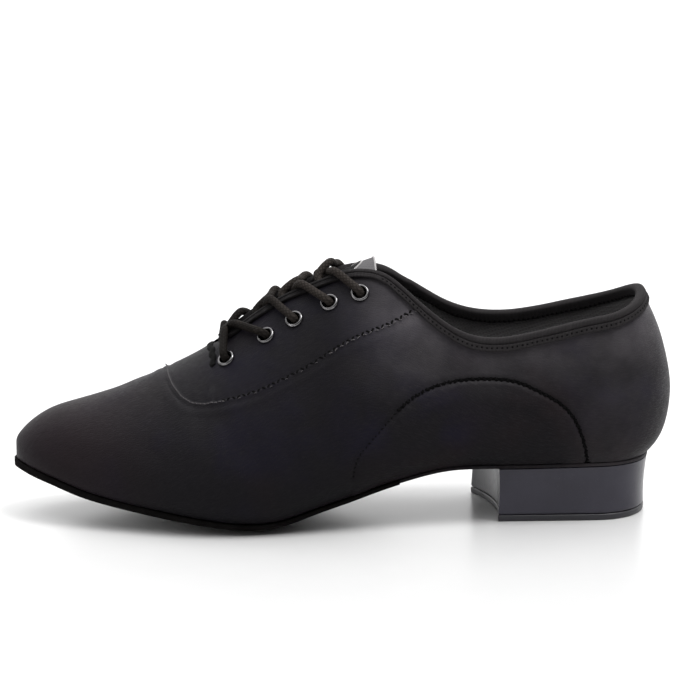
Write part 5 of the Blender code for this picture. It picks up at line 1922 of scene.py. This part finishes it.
def studio_camera(studio):
    """A long lens off the shoe's side, looking slightly down on it."""
    data = bpy.data.cameras.new("studio_camera")
    data.lens = studio.lens
    data.sensor_width = 36.0
    camera = bpy.data.objects.new("studio_camera", data)
    bpy.context.scene.collection.objects.link(camera)
    flat = math.cos(studio.elevation)
    back = (math.sin(studio.azimuth) * flat, -math.cos(studio.azimuth) * flat, math.sin(studio.elevation))
    back = Vector(back)
    camera.location = Vector((studio.aim_along, 0.0, studio.aim_height)) + back * studio.distance
    camera.rotation_mode = "QUATERNION"
    camera.rotation_quaternion = (-back).to_track_quat("-Z", "Y")
    bpy.context.scene.camera = camera
    bpy.context.scene.view_settings.view_transform = "Standard"


# Operators and panel
class OXFORD_OT_upper(bpy.types.Operator):
    """Make the outer cloth and the lining."""

    bl_idname = "oxford.upper"
    bl_label = "Upper cloth and lining"

    def execute(self, context):
        upper_cloth_piece()
        lining_piece()
        return {"FINISHED"}


class OXFORD_OT_seams(bpy.types.Operator):
    """Sew the facing's seam, the arch and the throat's tack."""

    bl_idname = "oxford.seams"
    bl_label = "Seams"

    def execute(self, context):
        seams_piece()
        throat_tack_piece()
        return {"FINISHED"}


class OXFORD_OT_binding(bpy.types.Operator):
    """Fold the ribbed tape over the opening's edge."""

    bl_idname = "oxford.binding"
    bl_label = "Edge binding"

    def execute(self, context):
        binding_piece()
        return {"FINISHED"}


class OXFORD_OT_tongue(bpy.types.Operator):
    """Make the tongue and its patch."""

    bl_idname = "oxford.tongue"
    bl_label = "Tongue"

    def execute(self, context):
        tongue_piece()
        return {"FINISHED"}


class OXFORD_OT_soles(bpy.types.Operator):
    """Make the suede outsole, the covered waist and the insole."""

    bl_idname = "oxford.soles"
    bl_label = "Soles"

    def execute(self, context):
        soles()
        return {"FINISHED"}


class OXFORD_OT_heel(bpy.types.Operator):
    """Make the lacquered heel and its top piece."""

    bl_idname = "oxford.heel"
    bl_label = "Heel"

    def execute(self, context):
        heel_pieces()
        return {"FINISHED"}


class OXFORD_OT_eyelets(bpy.types.Operator):
    """Set the ten eyelet rings."""

    bl_idname = "oxford.eyelets"
    bl_label = "Eyelets"

    def execute(self, context):
        eyelet_pieces()
        return {"FINISHED"}


class OXFORD_OT_lace(bpy.types.Operator):
    """Thread the round lace."""

    bl_idname = "oxford.lace"
    bl_label = "Lace"

    def execute(self, context):
        lace_piece()
        return {"FINISHED"}


class OXFORD_OT_stage(bpy.types.Operator):
    """Set up the floor, the lights and the camera."""

    bl_idname = "oxford.stage"
    bl_label = "Studio"

    def execute(self, context):
        studio = context.scene.oxford_studio
        studio_floor()
        studio_lights(studio)
        studio_camera(studio)
        return {"FINISHED"}


PIECE_OPERATORS = (
    OXFORD_OT_upper,
    OXFORD_OT_seams,
    OXFORD_OT_binding,
    OXFORD_OT_tongue,
    OXFORD_OT_soles,
    OXFORD_OT_heel,
    OXFORD_OT_eyelets,
    OXFORD_OT_lace,
    OXFORD_OT_stage,
)


class OXFORD_PT_sidebar(bpy.types.Panel):
    """The shoe's pieces and their settings."""

    bl_label = "Dance oxford"
    bl_idname = "OXFORD_PT_sidebar"
    bl_space_type = "VIEW_3D"
    bl_region_type = "UI"
    bl_category = "Oxford"

    def draw(self, context):
        for operator in PIECE_OPERATORS:
            self.layout.operator(operator.bl_idname)
        for settings in SETTINGS:
            group_of = getattr(context.scene, settings)
            box = self.layout.box()
            for name in group_of.__annotations__:
                box.prop(group_of, name)


SETTINGS = {"oxford_sizes": OxfordSizes, "oxford_colours": OxfordColours, "oxford_studio": OxfordStudio}
CLASSES = (*SETTINGS.values(), *PIECE_OPERATORS, OXFORD_PT_sidebar)


def register():
    for made in CLASSES:
        bpy.utils.register_class(made)
    for name, made in SETTINGS.items():
        setattr(bpy.types.Scene, name, PointerProperty(type=made))


def unregister():
    for name in SETTINGS:
        delattr(bpy.types.Scene, name)
    for made in reversed(CLASSES):
        bpy.utils.unregister_class(made)


def main():
    register()
    for operator in PIECE_OPERATORS:
        area, name = operator.bl_idname.split(".")
        getattr(getattr(bpy.ops, area), name)()


if __name__ == "__main__":
    main()
